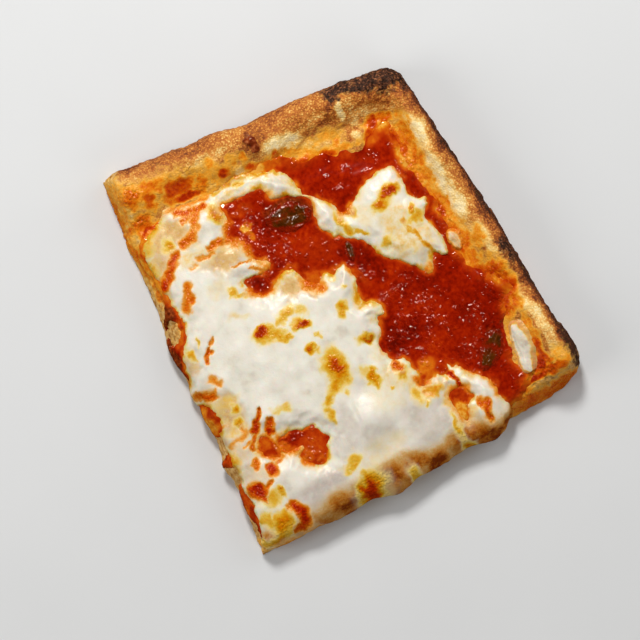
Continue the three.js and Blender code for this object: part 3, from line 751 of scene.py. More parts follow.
def sauce_depth(patch):
    """Signed distance inside the sauce, with waves for a slightly ragged edge, less at bare places."""
    rag = 0.8 * waves(patch.base, 4.1, 31) + 0.35 * waves(patch.base, 1.6, 32)
    bare = 7 * spots(patch, SAUCE_BARE_PLACES, 0.6, 2.4, 35)
    return depth_inside(patch.x, patch.y, sauce_outline) + rag - bare


def cheese_depth(patch):
    """Signed distance inside the cheese and outside its holes, the least of them, with a ragged edge."""
    px, py = shaken(patch, 0.45, 2.4, 33)
    rag = 0.3 * waves(patch.base, 2.7, 37)
    outer, *holes = [depth_inside(px, py, outline) for outline in cheese_outlines]
    return np.minimum.reduce([outer] + [-hole for hole in holes]) + rag


under_sauce = sauce_depth(dough)
covered = ease(np.maximum(under_sauce, cheese_depth(dough)) / 1.5)
print("share of the grid that sauce or cheese covers:", round(float(covered.mean()), 2))

# %% What the crust looks like at each place
MIDDLE_BAKE = 0.42
BAKED_FRONT_START = 38


def crust_fields(patch, under_sauce, covered):
    """Seven fields from 0 to 1. The bake is a middle brown, more at the outer edges and at brown places,
    less at pale ones, and more along the creases, where shade is painted. A stain is a spot or the halo of
    the sauce, less where it is charred. The crumb shows low on the cut sides, but hardly where the front
    is baked. Stained and pale places are wet."""
    outer = 0.4 * (1 - ease(patch.right / 3)) + 0.1 * (1 - ease(patch.back / 3))
    pale = 0.42 * spots(patch, PALE_PLACES, 0.6, 4, 21)
    brown = spots(patch, BROWN_PLACES, 0.8, 2.4, 22)
    crease_shade = strokes(patch, CREASE_SHADE_LINES)
    # The crease lines darken the bake as painted shade.
    bake = MIDDLE_BAKE + outer - pale + 0.6 * brown + 0.5 * crease_shade + 0.07 * waves(patch.base, 9, 23)
    char = spots(patch, CHAR_PLACES, 1.0, 2.4, 24, 1.4)
    blister = spots(patch, BLISTER, 0.9, 2, 28, 0.8)
    side = np.minimum(patch.left / LEFT_CUT_FALL, patch.front / FRONT_CUT_FALL)
    baked_front = ease((patch.x - BAKED_FRONT_START) / 6) * (1 - ease(patch.front / 12))
    crumb = (1 - ease((side - 0.75) / 0.4)) * (1 - 0.9 * baked_front)
    patchy = 0.55 + 0.35 * waves(patch.base, 6, 26)
    halo = patchy * band(-under_sauce, 3.2) * (1 - 0.5 * covered)
    stain = spots(patch, CRUST_STAINS, 0.9, 3.2, 25, 1.3)
    stain = np.maximum(stain, halo * (1 - 0.8 * crumb)) * (1 - 0.8 * char)
    wet = clamp(0.1 + 1.2 * stain + 0.9 * pale + blister)
    bake = clamp(bake + 0.45 * blister + 0.22 * baked_front)
    shine = spots(patch, CRUST_SHINE_PLACES, 1.0, 3, 29)
    return {
        "bake": bake, "char": char, "stain": stain, "crumb": crumb, "wet": wet, "blister": blister,
        "shine": shine,
    }


crust_looks = crust_fields(dough, under_sauce, covered)
print("fields of the crust:", ", ".join(crust_looks))

# %% The relief of the crust
RIM_SWELLS = [
    (-60, 86, 7, 6, 1.4), (-14.5, 81, 7, 7, 1.8), (77, -63, 8, 9, 2), (65, 68, 7, 6, 1.6),
    (64, 58, 6, 4.5, 1),
]


def crust_relief(patch, fields, covered):
    """How far the crust stands out of the patch: swells in its outer walls, waves of three sizes and
    small grains, cracks where it is charred, blisters, and pores sunk into the crumb."""
    base = patch.base
    outside = 1 - ease(np.minimum(patch.right, patch.back) / 6)
    swell = humps(RIM_SWELLS, patch.x, patch.y) * outside * ease(patch.left / 6)
    rim = 0.35 * outside + 0.3 * waves(base, 5, 41) + 0.2 * waves(base, 2.3, 42) + 0.1 * waves(base, 1.2, 43)
    grain = 0.2 * (1 - fields["wet"]) * (0.6 - pits(base, 1.5, 44))
    cracks = fields["char"] * (0.35 * waves(base, 1.7, 45) - 0.5 * ease(1 - pits(base, 2.6, 46) / 0.5))
    big_pores = 0.9 * ease(1 - pits(base, 3.4, 47) / 0.45) * (waves(base, 8, 48) > -0.3)
    small_pores = 0.45 * ease(1 - pits(base, 1.7, 49) / 0.5)
    crumb = fields["crumb"] * (0.2 * waves(base, 2, 50) - big_pores - small_pores)
    blister = 0.9 * fields["blister"] * (1 + 0.4 * waves(base, 1.6, 53))
    skin = (rim + grain + cracks) * (1 - fields["crumb"]) * (1 - 0.9 * covered)
    return swell + skin + blister + crumb * (1 - 0.7 * covered)


crust_skin = dough.lifted(crust_relief(dough, crust_looks, covered))
print("highest point with the relief:", round(float(crust_skin[..., 2].max()), 2), "mm")

# %% [markdown]
# Below the patch a wall of rings draws in to the foot, and flat rings close the base. The grid's own
# columns could run on underneath, but they would bunch up there. The underside is out of sight and baked
# evenly, so what the edge looks like fades out over the first ring of the base.

# %% The rings below the crust's edge
WALL_SHARES = [0.1, 0.25, 0.4, 0.55, 0.7, 0.85, 0.95, 1.0]
BASE_SHARES = [0.006, 0.02, 0.06, 0.14, 0.28, 0.5, 0.75]


def border_of(rows, columns):
    """Indices round the edge of a grid, anticlockwise from the first corner."""
    index = np.arange(rows * columns).reshape(rows, columns)
    return np.concatenate([index[0, :-1], index[:-1, -1], index[-1, :0:-1], index[:0:-1, 0]])


def rings_below(rim):
    """The rings below the crust's edge. A wall ring is the edge, lower by its share, tucked in by the
    square of the share, and rough with waves that die out at the foot. A base ring is the foot, drawn in
    to the middle by its share."""
    inward = -rim * (1, 1, 0) / np.linalg.norm(rim[:, :2], axis=1, keepdims=True)
    rings = []
    for share in WALL_SHARES:
        tuck = RIM_TUCK * share**2 * rim[:, 2] / (RIM_SILHOUETTE * BACK_RIM_HEIGHT)
        ring = rim + inward * tuck[:, None]
        ring[:, 2] *= 1 - share
        rough = 0.25 * waves(ring, 2.4, 51) + 0.15 * waves(ring, 1.2, 52)
        rough = rough * np.minimum(1, rim[:, 2] / 6) * (1 - share**4)
        rings.append(ring + inward * rough[:, None])
    return rings + [rings[-1] * (1 - share) for share in BASE_SHARES]


def ring_faces(edge, rings, first):
    """Faces from each ring up to the one above. The middle is closed by faces that take two steps each
    along the last ring."""
    faces = []
    above = edge
    for ring in rings:
        below = first + np.arange(len(ring))
        faces.append(np.stack([below, np.roll(below, -1), np.roll(above, -1), above], -1))
        first, above = first + len(ring), below
    fan = np.stack([np.roll(above, -2), np.roll(above, -1), above, np.full(len(above), first)], -1)
    return faces + [fan[::2]]


print("rings:", len(WALL_SHARES), "down the wall and", len(BASE_SHARES), "on the base")

# %% The crust
UNDER_BAKE = 0.64


def with_underside(name, values, edge, rings):
    """A field carried on below the edge, where it fades out. The bake becomes even, with broad waves."""
    shares = np.array([0.0] * len(WALL_SHARES) + BASE_SHARES)
    fade = np.repeat(1 - ease(shares / BASE_SHARES[1]), len(edge))
    below, middle = np.tile(values.ravel()[edge], len(rings)) * fade, 0.0
    if name == "bake":
        below, middle = UNDER_BAKE + 0.1 * waves(np.concatenate(rings), 24, 54), UNDER_BAKE
    return np.concatenate([values.ravel(), below, [middle]])


def crust_piece(skin, fields):
    """The skin on the patch, the rings below its edge and a last point in the middle of the base."""
    rows, columns = skin.shape[:2]
    top = skin.reshape(-1, 3)
    cells = np.ones((rows - 1, columns - 1), bool)
    edge = border_of(rows, columns)
    rings = rings_below(top[edge])
    points = np.concatenate([top] + rings + [np.zeros((1, 3))])
    faces = np.concatenate([sheet_faces(cells)[: cells.size]] + ring_faces(edge, rings, len(top)))
    fields = {name: with_underside(name, values, edge, rings) for name, values in fields.items()}
    make_piece("crust_baked", points, faces, fields, baked_crust, "crust", "crust")


crust_piece(crust_skin, crust_looks)

# %% [markdown]
# The sauce is cooked tomato: deep red, wet, and full of small soft lumps of pulp that each catch the
# light. It turns orange where it thins out at its edge and brown where it baked on the cut side. A bump
# texture alone would leave it flat at the edges, so the lumps are real relief, only the finest beads come
# from the material, and low roughness makes the glints.

# %% The finish of the sauce
def sauce_finish():
    """Reds by the pulp, orange laid over where it is thin and baked brown where it is dark. Beads stand
    on it where it is lively."""
    made = Finish("wet_sauce")
    thin, dark = made.field("thin"), made.field("dark")
    pulp, cloud = made.noise(1.5, 3, 11), made.noise(9, 2, 13)
    level = made.sum((cloud, 0.4), (pulp, 0.45), (dark, -0.5), 0.05)
    colour = made.ramp(
        level, (0.0, 92, 8, 1), (0.35, 136, 19, 1), (0.6, 158, 31, 2), (0.85, 180, 50, 4), (1.0, 202, 80, 12)
    )
    edge = made.broken(thin, (pulp, 0.5), (cloud, 0.4))
    orange = made.ramp(
        edge, (0.0, 160, 30, 4), (0.35, 182, 60, 8), (0.65, 204, 98, 14), (0.9, 218, 138, 30),
        (1.0, 226, 160, 60),
    )
    colour = made.laid_over(colour, edge, 0.0, 0.4, orange)
    baked = made.ramp(pulp, (0.0, 74, 22, 5), (0.6, 124, 48, 14), (1.0, 168, 84, 34))
    colour = made.laid_over(colour, dark, 0.5, 0.9, baked)
    lively = made.stretch(made.sum(made.field("glint"), (made.noise(3.6, 2, 14, 0.36, 0.64), 0.8)), 0.8, 1.05)
    beads = made.product(made.domes(1.7, 0.66), made.sum((pulp, 0.7), 0.3))
    made.bump(0.6, 1.0, made.product(made.sum((beads, 0.62), (pulp, 0.25)), lively))
    return made.finished(
        base_color=colour, roughness=0.1, specular_ior_level=0.5, specular_tint=screen_colour(255, 236, 220)
    )


wet_sauce = sauce_finish()

# %% [markdown]
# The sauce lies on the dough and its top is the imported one, from a thin edge to its full depth, with the
# pulp's lumps added. At its edge it rounds over and sinks a little into the crust, so that the mesh ends
# out of sight. Under the back rim it ran out to a calm thin film that slopes very little. Any steeper
# smooth slope there would face the light and turn into one white patch.

# %% Where the sauce is bulging, dark, thin, lively and calm
SAUCE_LUMPS = [
    (-72, 5, 2.4, 11, 0.8), (-70.5, -22, 3.4, 7, 1.8), (-73, -42, 2.4, 3, 1.6), (-73, -58, 2.4, 6, 1.6),
    (-73, -67, 2, 4, 1), (-66.5, 23, 2.4, 3, 1),
]
SAUCE_DARK_PLACES = [
    (-72, 6, 3, 13, 1), (-69, -22, 3, 9, 0.55), (-73, -42, 3, 4, 0.7), (-71.5, -60, 2, 9, 0.5),
    (-66.5, 23.5, 3, 5, 1, -30), (-3, 39.5, 12.5, 7.5, 0.8, -10), (49, -44, 5, 5, 0.6),
    (17, 8, 5, 11, 0.3, 20), (15, -26, 9, 7, 0.3), (45, -50, 8, 5, 0.42, 40), (15, 53, 12, 2.5, 0.25, -14),
    (55, -70, 8, 2, 0.3), (46, -15, 13, 22, 0.26), (57, -26, 4, 5, 0.4), (-26, 17.5, 4, 3, 0.3),
]
SAUCE_THIN_PLACES = [
    (62, -21, 5, 4, 0.6), (-41.5, -53, 2.8, 4, 0.5, 20), (-36.5, -51, 6, 6.5, 0.36),
    (-48, -45.5, 2.6, 2.4, 0.6), (-36, -57.5, 4, 2.2, 0.42), (-65.5, 44, 3.4, 16, 0.82, 3),
    (-73.5, -60, 2, 8, 0.75), (-20, 48.5, 5, 2.6, 0.3), (2, 20, 9, 8, 0.16), (19, -42.5, 5, 3, 0.55),
    (-6, 10, 4, 4, 0.5), (-21, 41, 2.4, 2.4, 1), (-20.5, 37, 2, 2.4, 0.62), (-27, 46, 2.4, 2.6, 0.5),
    (-54.5, -41, 3, 4, 0.55), (26.5, -60, 4.5, 3, 0.3), (24, -65.5, 2.8, 4.5, 1), (33, -67, 2, 3, 0.4),
    (45, 57, 6, 3, 0.4), (58, -68, 8, 4, 0.4), (-14, 18, 5, 2, 0.5), (3, 9, 4, 2.5, 0.4),
    (12, 3, 2, 6, 0.3), (-70.5, -23, 3.5, 8, 0.9), (-71.5, -42, 3, 4, 0.35), (-71.5, -57, 3, 9, 0.4),
    (0, 60, 4, 1.6, 0.5), (-24, 60.5, 4, 1.5, 0.6),
]
SAUCE_GLINT_PLACES = [
    (-20, 34, 11, 12, 0.7), (-25, 18, 6, 4, 0.8), (-13, 23, 8, 3, 0.8), (-11, 36, 3, 3, 1),
    (42, -50, 7, 7, 1), (48, -38, 4, 8, 0.7, 20), (21, -26, 5, 9, 0.6, 10), (30, -22, 6, 8, 0.55),
    (22, -11, 7, 4, 0.6), (13, -28, 4, 5, 0.6), (27, -35, 5, 4, 0.5), (59, -31, 3, 8, 0.6, 10),
    (54, -62, 5, 5, 0.5), (-43, -43.5, 7, 2.4, 0.9), (-37, -56, 4, 3, 0.7), (54, 10, 3, 12, 0.5),
    (17, 45, 1.6, 2.4, 0.7), (19, 38, 1.6, 3, 0.7), (26.5, 44, 2, 3, 0.8, 30), (9, 57, 3, 2, 0.4),
    (39, 44, 3, 2, 0.3), (13, 2, 4, 4, 0.5), (33, -18, 3, 2.5, 0.8), (35, -30, 4, 4, 0.5),
]
SAUCE_CALM_PLACES = [
    (12, 52, 13, 7, 1, -14), (32, 47, 14, 8, 1, -10), (47, 50, 6, 8, 0.8), (46, -5, 10, 12, 0.5),
]
print("glinting places:", len(SAUCE_GLINT_PLACES), "and calm places:", len(SAUCE_CALM_PLACES))

# %% The level of the sauce
SAUCE_THICKNESS = 1.7
SAUCE_EDGE = 0.5
GAP = 0.3
CALM_SLOPE = 0.1
CALM_REACH = 13.0
PATCH_START = 0.3


def round_edge(depth, radius):
    """A layer's edge as a share of its height: a quarter circle up from the edge, and flat inside."""
    k = 1 - clamp(depth / radius)
    return np.sqrt(1 - k * k)


def sauce_level(depth):
    """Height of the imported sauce's top above the crust: full inside, sinking to the gap outside."""
    inside = mix(SAUCE_EDGE, SAUCE_THICKNESS, ease(depth / 9))
    return GAP + np.where(depth > 0, inside, SAUCE_EDGE * (1 - ease(-depth / 4)))


print("sauce above the dough in mm, at its edge and inside:", sauce_level(np.array([0.0, 9.0])).tolist())

# %% The top of the sauce
def sauce_lumps(patch, calm):
    """Lumps of pulp: waves of two sizes, and grains that are high round scattered points. Both come in
    clumps, and little of them stays where the sauce is calm."""
    base = patch.base
    clumps = ease(0.4 + 0.9 * waves(base, 6, 60))
    broad = 0.2 * (1 - calm) * waves(base, 5.2, 61)
    small = (0.04 + 0.1 * clumps) * (1 - 0.5 * calm) * waves(base, 1.6, 62)
    return broad + small + 0.24 * clumps * (1 - 0.7 * calm) * (0.55 - pits(base, 2.1, 64))


def sauce_top(patch, depth, edge, calm):
    """Height of the sauce above the crust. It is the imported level, a bead along the right and the bulges
    on the cut side, all rounded at the edge. Where it is calm it is a film that gets deeper by an even
    slope instead."""
    bead = 0.3 * bell(depth - 1.6) * ease((patch.x - 46) / 6) * ease((60 - patch.x) / 4)
    bulge = np.maximum(0, humps(SAUCE_LUMPS, patch.x, patch.y)) * ease(patch.s * WIDTH / 2)
    inner = ease((patch.x + 60) / 10)
    profile = mix(round_edge(edge, mix(1.6, 2.6, inner)), ease((edge + 0.4) / 4), 0.7 * inner)
    film = CALM_SLOPE * np.clip(depth_inside(patch.x, patch.y, sauce_outline), 0, CALM_REACH)
    return mix((sauce_level(depth) + bead + bulge) * profile, film, calm)


# %% The sauce
EDGE_TRIM = -1.1


def sauce_fields(patch, depth, calm):
    """Three fields. It is thin at its own edge, in patches, at the cheese's edge and at thin places, dark
    at dark places, and it glints at lively places, a little elsewhere and least where it is calm."""
    dark = spots(patch, SAUCE_DARK_PLACES, 1.0, 4, 65)
    at_edge = band(depth, 3.4) * (0.55 + 0.45 * waves(patch.base, 6, 66)) * (1 - dark)
    patchy = 0.8 + 0.4 * waves(patch.base, 3, 68)
    at_cheese = 0.6 * bell(cheese_depth(patch) / 1.5) * patchy * (1 - 0.5 * dark)
    thin = np.maximum.reduce([at_edge, at_cheese, spots(patch, SAUCE_THIN_PLACES, 0.9, 3, 67)])
    glint = 0.26 * (1 - 0.85 * calm) + 0.7 * spots(patch, SAUCE_GLINT_PLACES, 1.2, 4, 69, 1.4)
    return {"thin": clamp(thin), "dark": dark, "glint": glint}


def sauce_piece():
    """The sauce between its top and the dough. Its edge is the nearest of its outline and the two cut
    sides, where it slopes twice as fast, and under cheese it has no lumps."""
    patch = Patch(np.linspace(PATCH_START / WIDTH, 0.97, 228), np.linspace(3.0 / LENGTH, 0.9, 232))
    depth = sauce_depth(patch)
    covered = ease((cheese_depth(patch) - 0.3) / 1.2)
    edge = np.minimum.reduce([depth, 2 * (patch.s * WIDTH - 1.0), 2 * (patch.t * LENGTH - 4.5)])
    calm = spots(patch, SAUCE_CALM_PLACES, 0.5, 8, 70, 1.9)
    lumps = sauce_lumps(patch, calm) * ease((edge + 0.4) / 2) * (1 - covered)
    top = sauce_top(patch, depth, edge, calm) + lumps - 0.5 * ease(-edge)
    bottom = np.minimum(top - 0.3, 0.0) - 0.1
    make_sheet(
        "sauce_wet", patch.lifted(top), patch.lifted(bottom), edge > EDGE_TRIM,
        sauce_fields(patch, depth, calm), wet_sauce, "sauce", "sauce"
    )


sauce_piece()

# %% [markdown]
# Melted mozzarella is white, soft to the light and a little shiny with oil. Heat turns it gold at the rim
# of each toasted spot and red-brown in the middle. Where it is thin the dough shows through as beige, and
# where it broke the sauce shows through as orange and red. At the hem of the cut side it is tanned. Where
# it should lie in shade, a grey-pink is painted on as shade. One ramp could not hold all these, so each
# is its own ramp, laid over the last where its attribute is strong. The shader lets light in a little
# way, so the white looks milky and not like paint.

# %% The finish of the cheese
def cheese_finish():
    """Milk white, then painted shade, thin, oily, tanned, toasted and broken places, each laid over the
    last. The painted shade is a grey-pink where the cheese should lie in shade. Toasted and broken places
    are rough with blisters and beads, and let no light in."""
    made = Finish("melted_cheese")
    toast, redden, tan = made.field("toast"), made.field("redden"), made.field("tan")
    fine, blotch, cloud = made.noise(0.7, 2, 21), made.noise(2.2, 3, 23), made.noise(7, 3, 22)
    colour = made.ramp(cloud, (0.0, 204, 194, 176), (0.4, 222, 215, 199), (1.0, 233, 227, 213))
    # Painted shade: a grey-pink laid over the white where the cheese should lie in shade.
    painted_shade_amount = made.broken(made.field("painted_shade"), (blotch, 0.5))
    colour = made.laid_over(colour, painted_shade_amount, 0.0, 1.0, screen_colour(176, 160, 150))
    thinned = made.broken(made.field("thin"), (blotch, 0.7), (fine, 0.3))
    beige = made.ramp(blotch, (0.0, 192, 138, 68), (0.4, 206, 164, 98), (1.0, 217, 186, 134))
    colour = made.laid_over(colour, thinned, 0.05, 0.8, beige)
    oiled = made.broken(made.field("oil"), (blotch, 0.9), (fine, 0.2))
    yellow = made.ramp(
        oiled, (0.0, 236, 220, 160), (0.35, 224, 182, 78), (0.7, 210, 142, 16), (1.0, 198, 110, 0)
    )
    colour = made.laid_over(colour, oiled, 0.02, 0.5, yellow)
    tanned = made.broken(tan, (blotch, 0.4), (fine, 0.2))
    brown = made.ramp(
        tanned, (0.0, 230, 214, 182), (0.2, 216, 188, 142), (0.4, 202, 160, 98), (0.6, 188, 126, 50),
        (0.8, 166, 90, 14), (1.0, 124, 46, 0),
    )
    colour = made.laid_over(colour, tanned, 0.0, 0.4, brown)
    toasted = made.broken(toast, (blotch, 0.5), (fine, 0.22))
    gold = made.ramp(
        toasted, (0.0, 234, 221, 182), (0.12, 228, 202, 126), (0.25, 216, 170, 54), (0.38, 208, 142, 12),
        (0.5, 204, 118, 0), (0.64, 194, 86, 0), (0.8, 182, 56, 0), (1.0, 158, 36, 0),
    )
    colour = made.laid_over(colour, toasted, 0.0, 0.16, gold)
    bled = made.broken(redden, (blotch, 0.5), (fine, 0.24))
    sauce = made.ramp(
        bled, (0.0, 234, 210, 176), (0.15, 228, 184, 120), (0.32, 220, 144, 48), (0.5, 212, 106, 6),
        (0.7, 200, 74, 0), (0.86, 184, 44, 0), (1.0, 160, 26, 0),
    )
    colour = made.laid_over(colour, bled, 0.0, 0.24, sauce)
    rough_spots = made.sum(toast, redden, (tan, 0.4))
    blisters = made.product(rough_spots, made.sum((blotch, 1.0), (fine, 0.7)))
    beads = made.product(made.domes(1.2, 0.7), made.stretch(rough_spots, 0.2, 0.6))
    made.bump(0.5, 0.8, (blisters, 0.8), (beads, 0.7), (cloud, 0.2), (fine, 0.1), (blotch, 0.12))
    return made.finished(
        base_color=colour, roughness=made.stretch(rough_spots, 0.1, 0.6, 0.3, 0.17),
        specular_ior_level=0.36, specular_tint=screen_colour(255, 244, 228),
        subsurface_weight=made.stretch(rough_spots, 0.05, 0.4, 0.3, 0.02), subsurface_scale=0.0016,
    )


melted_cheese = cheese_finish()

# %% [markdown]
# The cheese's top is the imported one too: thin at its edge, thick in the middle, with lumps and hollows.
# Here its edge is rounded like a drop, a fold lies over itself near the front, fine furrows run the way
# it flowed, and its hem swells where it hangs down the cut side. Where it is broken it sinks almost to
# the sauce, and sauce bleeds into its edges. A soft body could be let run, but it would not run into the
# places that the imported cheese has, so they are given as spots and strokes.

# %% Where the cheese is toasted
TOASTED_PLACES = [
    (-34.5, 0, 3, 1.9, 1.1, -10), (-33, -1.5, 5.2, 3, 0.42, -10), (-29.5, -3.5, 3.5, 2.4, 0.36, -20),
    (-26, -6.5, 2.6, 1.4, 0.38, -20), (-17.3, -5.3, 2.4, 1.5, 1.15, -35), (-19.3, -4, 3, 2, 0.46, -20),
    (-22.5, 2.5, 3.4, 2.4, 0.36), (-25, 0.5, 2, 1.6, 0.3), (-17, 0.5, 3, 2, 0.22),
    (-0.8, -6.5, 3.4, 1.6, 0.42, 58), (-19.5, -15.6, 2, 2.1, 0.58), (-14, -25.5, 2.6, 4.2, 0.74, 5),
    (-14, -27, 4.4, 7, 0.5, 5), (-18, -33, 3.6, 2.4, 0.44, 40), (-22, -37.5, 3, 1.6, 0.36, 50),
    (-25, -43, 1.5, 3.6, 0.38, 5), (2.7, -22.6, 1.6, 1.2, 0.84), (1.8, -21.8, 3.2, 1.8, 0.5, -15),
    (-58.5, -23, 1.8, 1.8, 0.42), (-60, -30, 1.5, 2.4, 0.4), (-42, -31.5, 4.5, 1.6, 0.2, -15),
    (-1.8, -36.8, 1.9, 3.8, 0.56, 5), (-4, -33, 2, 2.4, 0.18), (-13.5, -38, 1.2, 1.6, 0.24),
    (-24, -75.6, 3.9, 3, 1.1, 20), (-24, -75, 5.8, 4, 0.56, 25), (-23, -75.5, 7, 5, 0.2, 25),
    (-25, -64.5, 2, 3.4, 0.36, -35), (-28, -66.5, 1.6, 1.6, 0.26), (-5, -76, 2.2, 3, 0.32),
    (3, -44.8, 0.9, 0.8, 0.34), (9.5, -41, 2, 3, 0.42), (11, -51, 1.6, 3.6, 0.3), (12.7, -57, 1, 0.8, 0.26),
    (19.5, -69, 1.3, 4.5, 0.36), (20.5, -77, 2, 2.6, 0.5), (38.3, 27.7, 3.4, 1.9, 0.95, 22),
    (38, 27.5, 4.1, 2.6, 0.5, 20), (32.5, 24.8, 3.4, 1.9, 0.58, -15), (33, 25, 4.6, 2.8, 0.34),
    (14.5, 25.5, 2, 3.6, 0.36, 15), (16.5, 21.5, 2.4, 2, 0.38), (20, 28, 2.4, 2.4, 0.48),
    (27.5, 9.5, 2.6, 1.8, 0.3, 20), (20, 18, 3.5, 1, 0.36, -30), (43.3, 18, 1.2, 2.2, 0.5),
    (43, 14, 3.4, 1.8, 0.36, 10), (-16, 58.8, 2.2, 1.4, 0.4), (-29.5, 51.5, 2.8, 3.8, 0.52, 25),
    (-38, 20, 2, 1.6, 0.32, -40), (-34.5, 17, 4, 1.2, 0.34, -20), (-60.3, 8.5, 0.9, 1.6, 0.32),
    (-64, 4, 0.9, 3.4, 0.36, 12), (4, 1.5, 1, 1, 0.3), (-13.8, -11.5, 1.2, 1, 0.28),
    (-62, -62.5, 4, 3.6, 0.3), (-62, -73, 4.6, 3.2, 0.5, 20), (-68, -77.5, 6, 2, 0.42),
    (-67, -70, 2, 3, 0.34), (-57.5, -62, 1.2, 3, 0.46, 15), (-53, 49, 2, 2.4, 0.4),
]
print("toasted places:", len(TOASTED_PLACES))

# %% Where the cheese is broken, so that the sauce shows
BROKEN_STROKES = [
    ([(-50, -28), (-52.5, -31.5)], 0.7, 0.75), ([(-53.2, -32.3), (-55.5, -35)], 1.3, 0.85),
    ([(-56.5, -36.5), (-59.5, -41)], 0.9, 0.6), ([(-48.2, -33.5), (-49, -35.5)], 1.3, 0.7),
    ([(-50, -36.5), (-50.3, -38)], 1.6, 0.98), ([(-57, -51.5), (-56.6, -53)], 1.9, 0.95),
    ([(-54, -50.5), (-51, -50)], 0.9, 0.5), ([(-60.8, -46), (-62.4, -48)], 1.2, 0.6),
    ([(-65.4, -56), (-65, -58.5)], 2.4, 1), ([(-62.5, -57.5), (-59.5, -56.5)], 1.3, 0.55),
    ([(-65, -61), (-64.6, -62)], 0.9, 0.8), ([(-9, 9.5), (-5, 6)], 2.6, 0.56),
    ([(-55.5, -69), (-53, -72), (-54, -75)], 1.9, 0.95), ([(-58.5, -76.3), (-55.5, -77)], 1.2, 0.8),
    ([(-60, -1), (-57, 3)], 1, 0.6), ([(-57, 3), (-53.8, 7)], 0.7, 0.5),
    ([(-57.5, 22.5), (-55, 26)], 2, 0.5), ([(-54.5, 24.3), (-54, 25)], 1.4, 0.6),
    ([(-55, 26), (-53, 30.5)], 1.7, 0.5), ([(-61.5, 34.5), (-57.5, 38.5)], 1.9, 0.78),
    ([(-57.5, 38.5), (-51.5, 44.5)], 1.9, 0.68), ([(-55, 42), (-52, 44.5)], 1.4, 0.8),
    ([(-46.5, 47), (-43, 47.5)], 2, 0.62), ([(-43, 47.5), (-39.5, 51), (-37, 56)], 1.8, 0.5),
    ([(-44, 59.5), (-39, 57.8), (-33, 57)], 1.6, 0.66), ([(-43, 55.5), (-38, 55.8)], 1, 0.5),
    ([(-68, -11.5), (-64.3, -14)], 1.8, 0.62), ([(-65, -13.5), (-64.2, -15.5)], 1.1, 0.56),
    ([(-61.5, -8), (-60, -10.5)], 1.7, 0.42), ([(24.5, -46.5), (27, -51), (28, -56.5)], 1, 1),
    ([(32.5, -66), (34.5, -67.5), (33, -70.5)], 1.5, 0.72), ([(8, -36.5), (9.5, -38.5)], 1.5, 0.66),
    ([(-44, 38.5), (-37, 38)], 1, 0.4), ([(-38.5, 40.5), (-33.5, 41)], 1.3, 0.6),
    ([(-33, 40.5), (-27, 40)], 1.4, 0.5), ([(-28, 42), (-25, 41.5)], 1.6, 0.55),
    ([(-29, 38), (-27.5, 36)], 1.3, 0.42), ([(-33, 29.3), (-22, 28.5)], 0.6, 0.55),
    ([(-26, 26), (-22, 22)], 0.8, 0.42), ([(-70, -81), (-62, -80.5), (-56, -81), (-50, -80)], 2, 0.42),
    ([(-67, -37), (-64, -35.5), (-58, -34)], 1.2, 0.34), ([(-62.5, -39), (-60, -38.5)], 0.9, 0.38),
    ([(-59.5, -31), (-59, -33.5)], 1.2, 0.36), ([(-16, -84), (-10, -83)], 1.6, 0.7),
    ([(14, -81.5), (22, -81)], 1.2, 0.5), ([(-66, -27.5), (-65, -27)], 0.8, 0.32),
    ([(-49, 36.5), (-46, 36.5)], 0.9, 0.28),
]
BLEEDING_PLACES = [
    (-28, 42, 6, 6, 0.9), (-24, 33, 4, 6, 0.7), (-22, 24, 5, 3, 0.6, -30), (-28, 16, 7, 3, 0.75, -20),
    (-9, 9, 5, 4, 0.8), (-24, 54, 8, 2.5, 0.5), (-8, 49, 5, 3, 0.45), (8, 36, 2, 8, 0.4),
    (10, 8, 2.5, 5, 0.5), (36, -52, 3, 8, 0.6, 40), (16, -47, 5, 3, 0.7), (27, -58, 6, 4, 0.6),
    (25, -66, 4, 5, 0.5), (-47, -47, 5, 5, 0.8), (-53, -43, 5, 7, 0.8), (-42, -55, 3, 5, 0.7),
    (40, -62, 3, 8, 0.5), (8, -27, 3, 5, 0.3), (20, 29, 4, 3, 0.6), (46, 33, 3, 5, 0.4),
    (38, -8, 3, 3, 0.5), (-38, 61, 12, 2, 0.5),
]
print("breaks:", len(BROKEN_STROKES), "and bleeding places:", len(BLEEDING_PLACES))

# %% Where the cheese is thin and oily, and where shade is painted on it
THIN_PLACES = [
    (-62, -25, 5.5, 9, 0.85), (-64.5, -39, 5, 5, 0.45), (-63, -74, 7, 6, 0.85), (-57, 52, 8, 6, 0.95),
    (-48, 54, 7, 4.5, 0.9), (-60, 38, 4, 10, 0.9, -20), (-64, 22, 2.5, 12, 0.6), (-34, 34.5, 9, 5, 0.85),
    (-16, 11.5, 5, 5.5, 0.9), (-13, 7.5, 3, 2.5, 0.25), (-7, 7, 2.5, 2.5, 0.95), (20, -52, 5, 3.5, 0.5),
    (28, -69, 3, 3, 0.5), (-68.5, -40, 2.5, 12, 0.6), (-63, -50, 5, 5, 0.4), (-67, 2, 2.4, 8, 0.6),
    (30, -77, 12, 3, 0.4), (2, -80, 16, 3, 0.35), (-44, 46, 4, 2.5, 0.4), (-29, 33, 2.5, 3, 0.4),
    (22, -45.5, 4, 1.5, 0.3), (12, -44, 2, 5, 0.3),
]
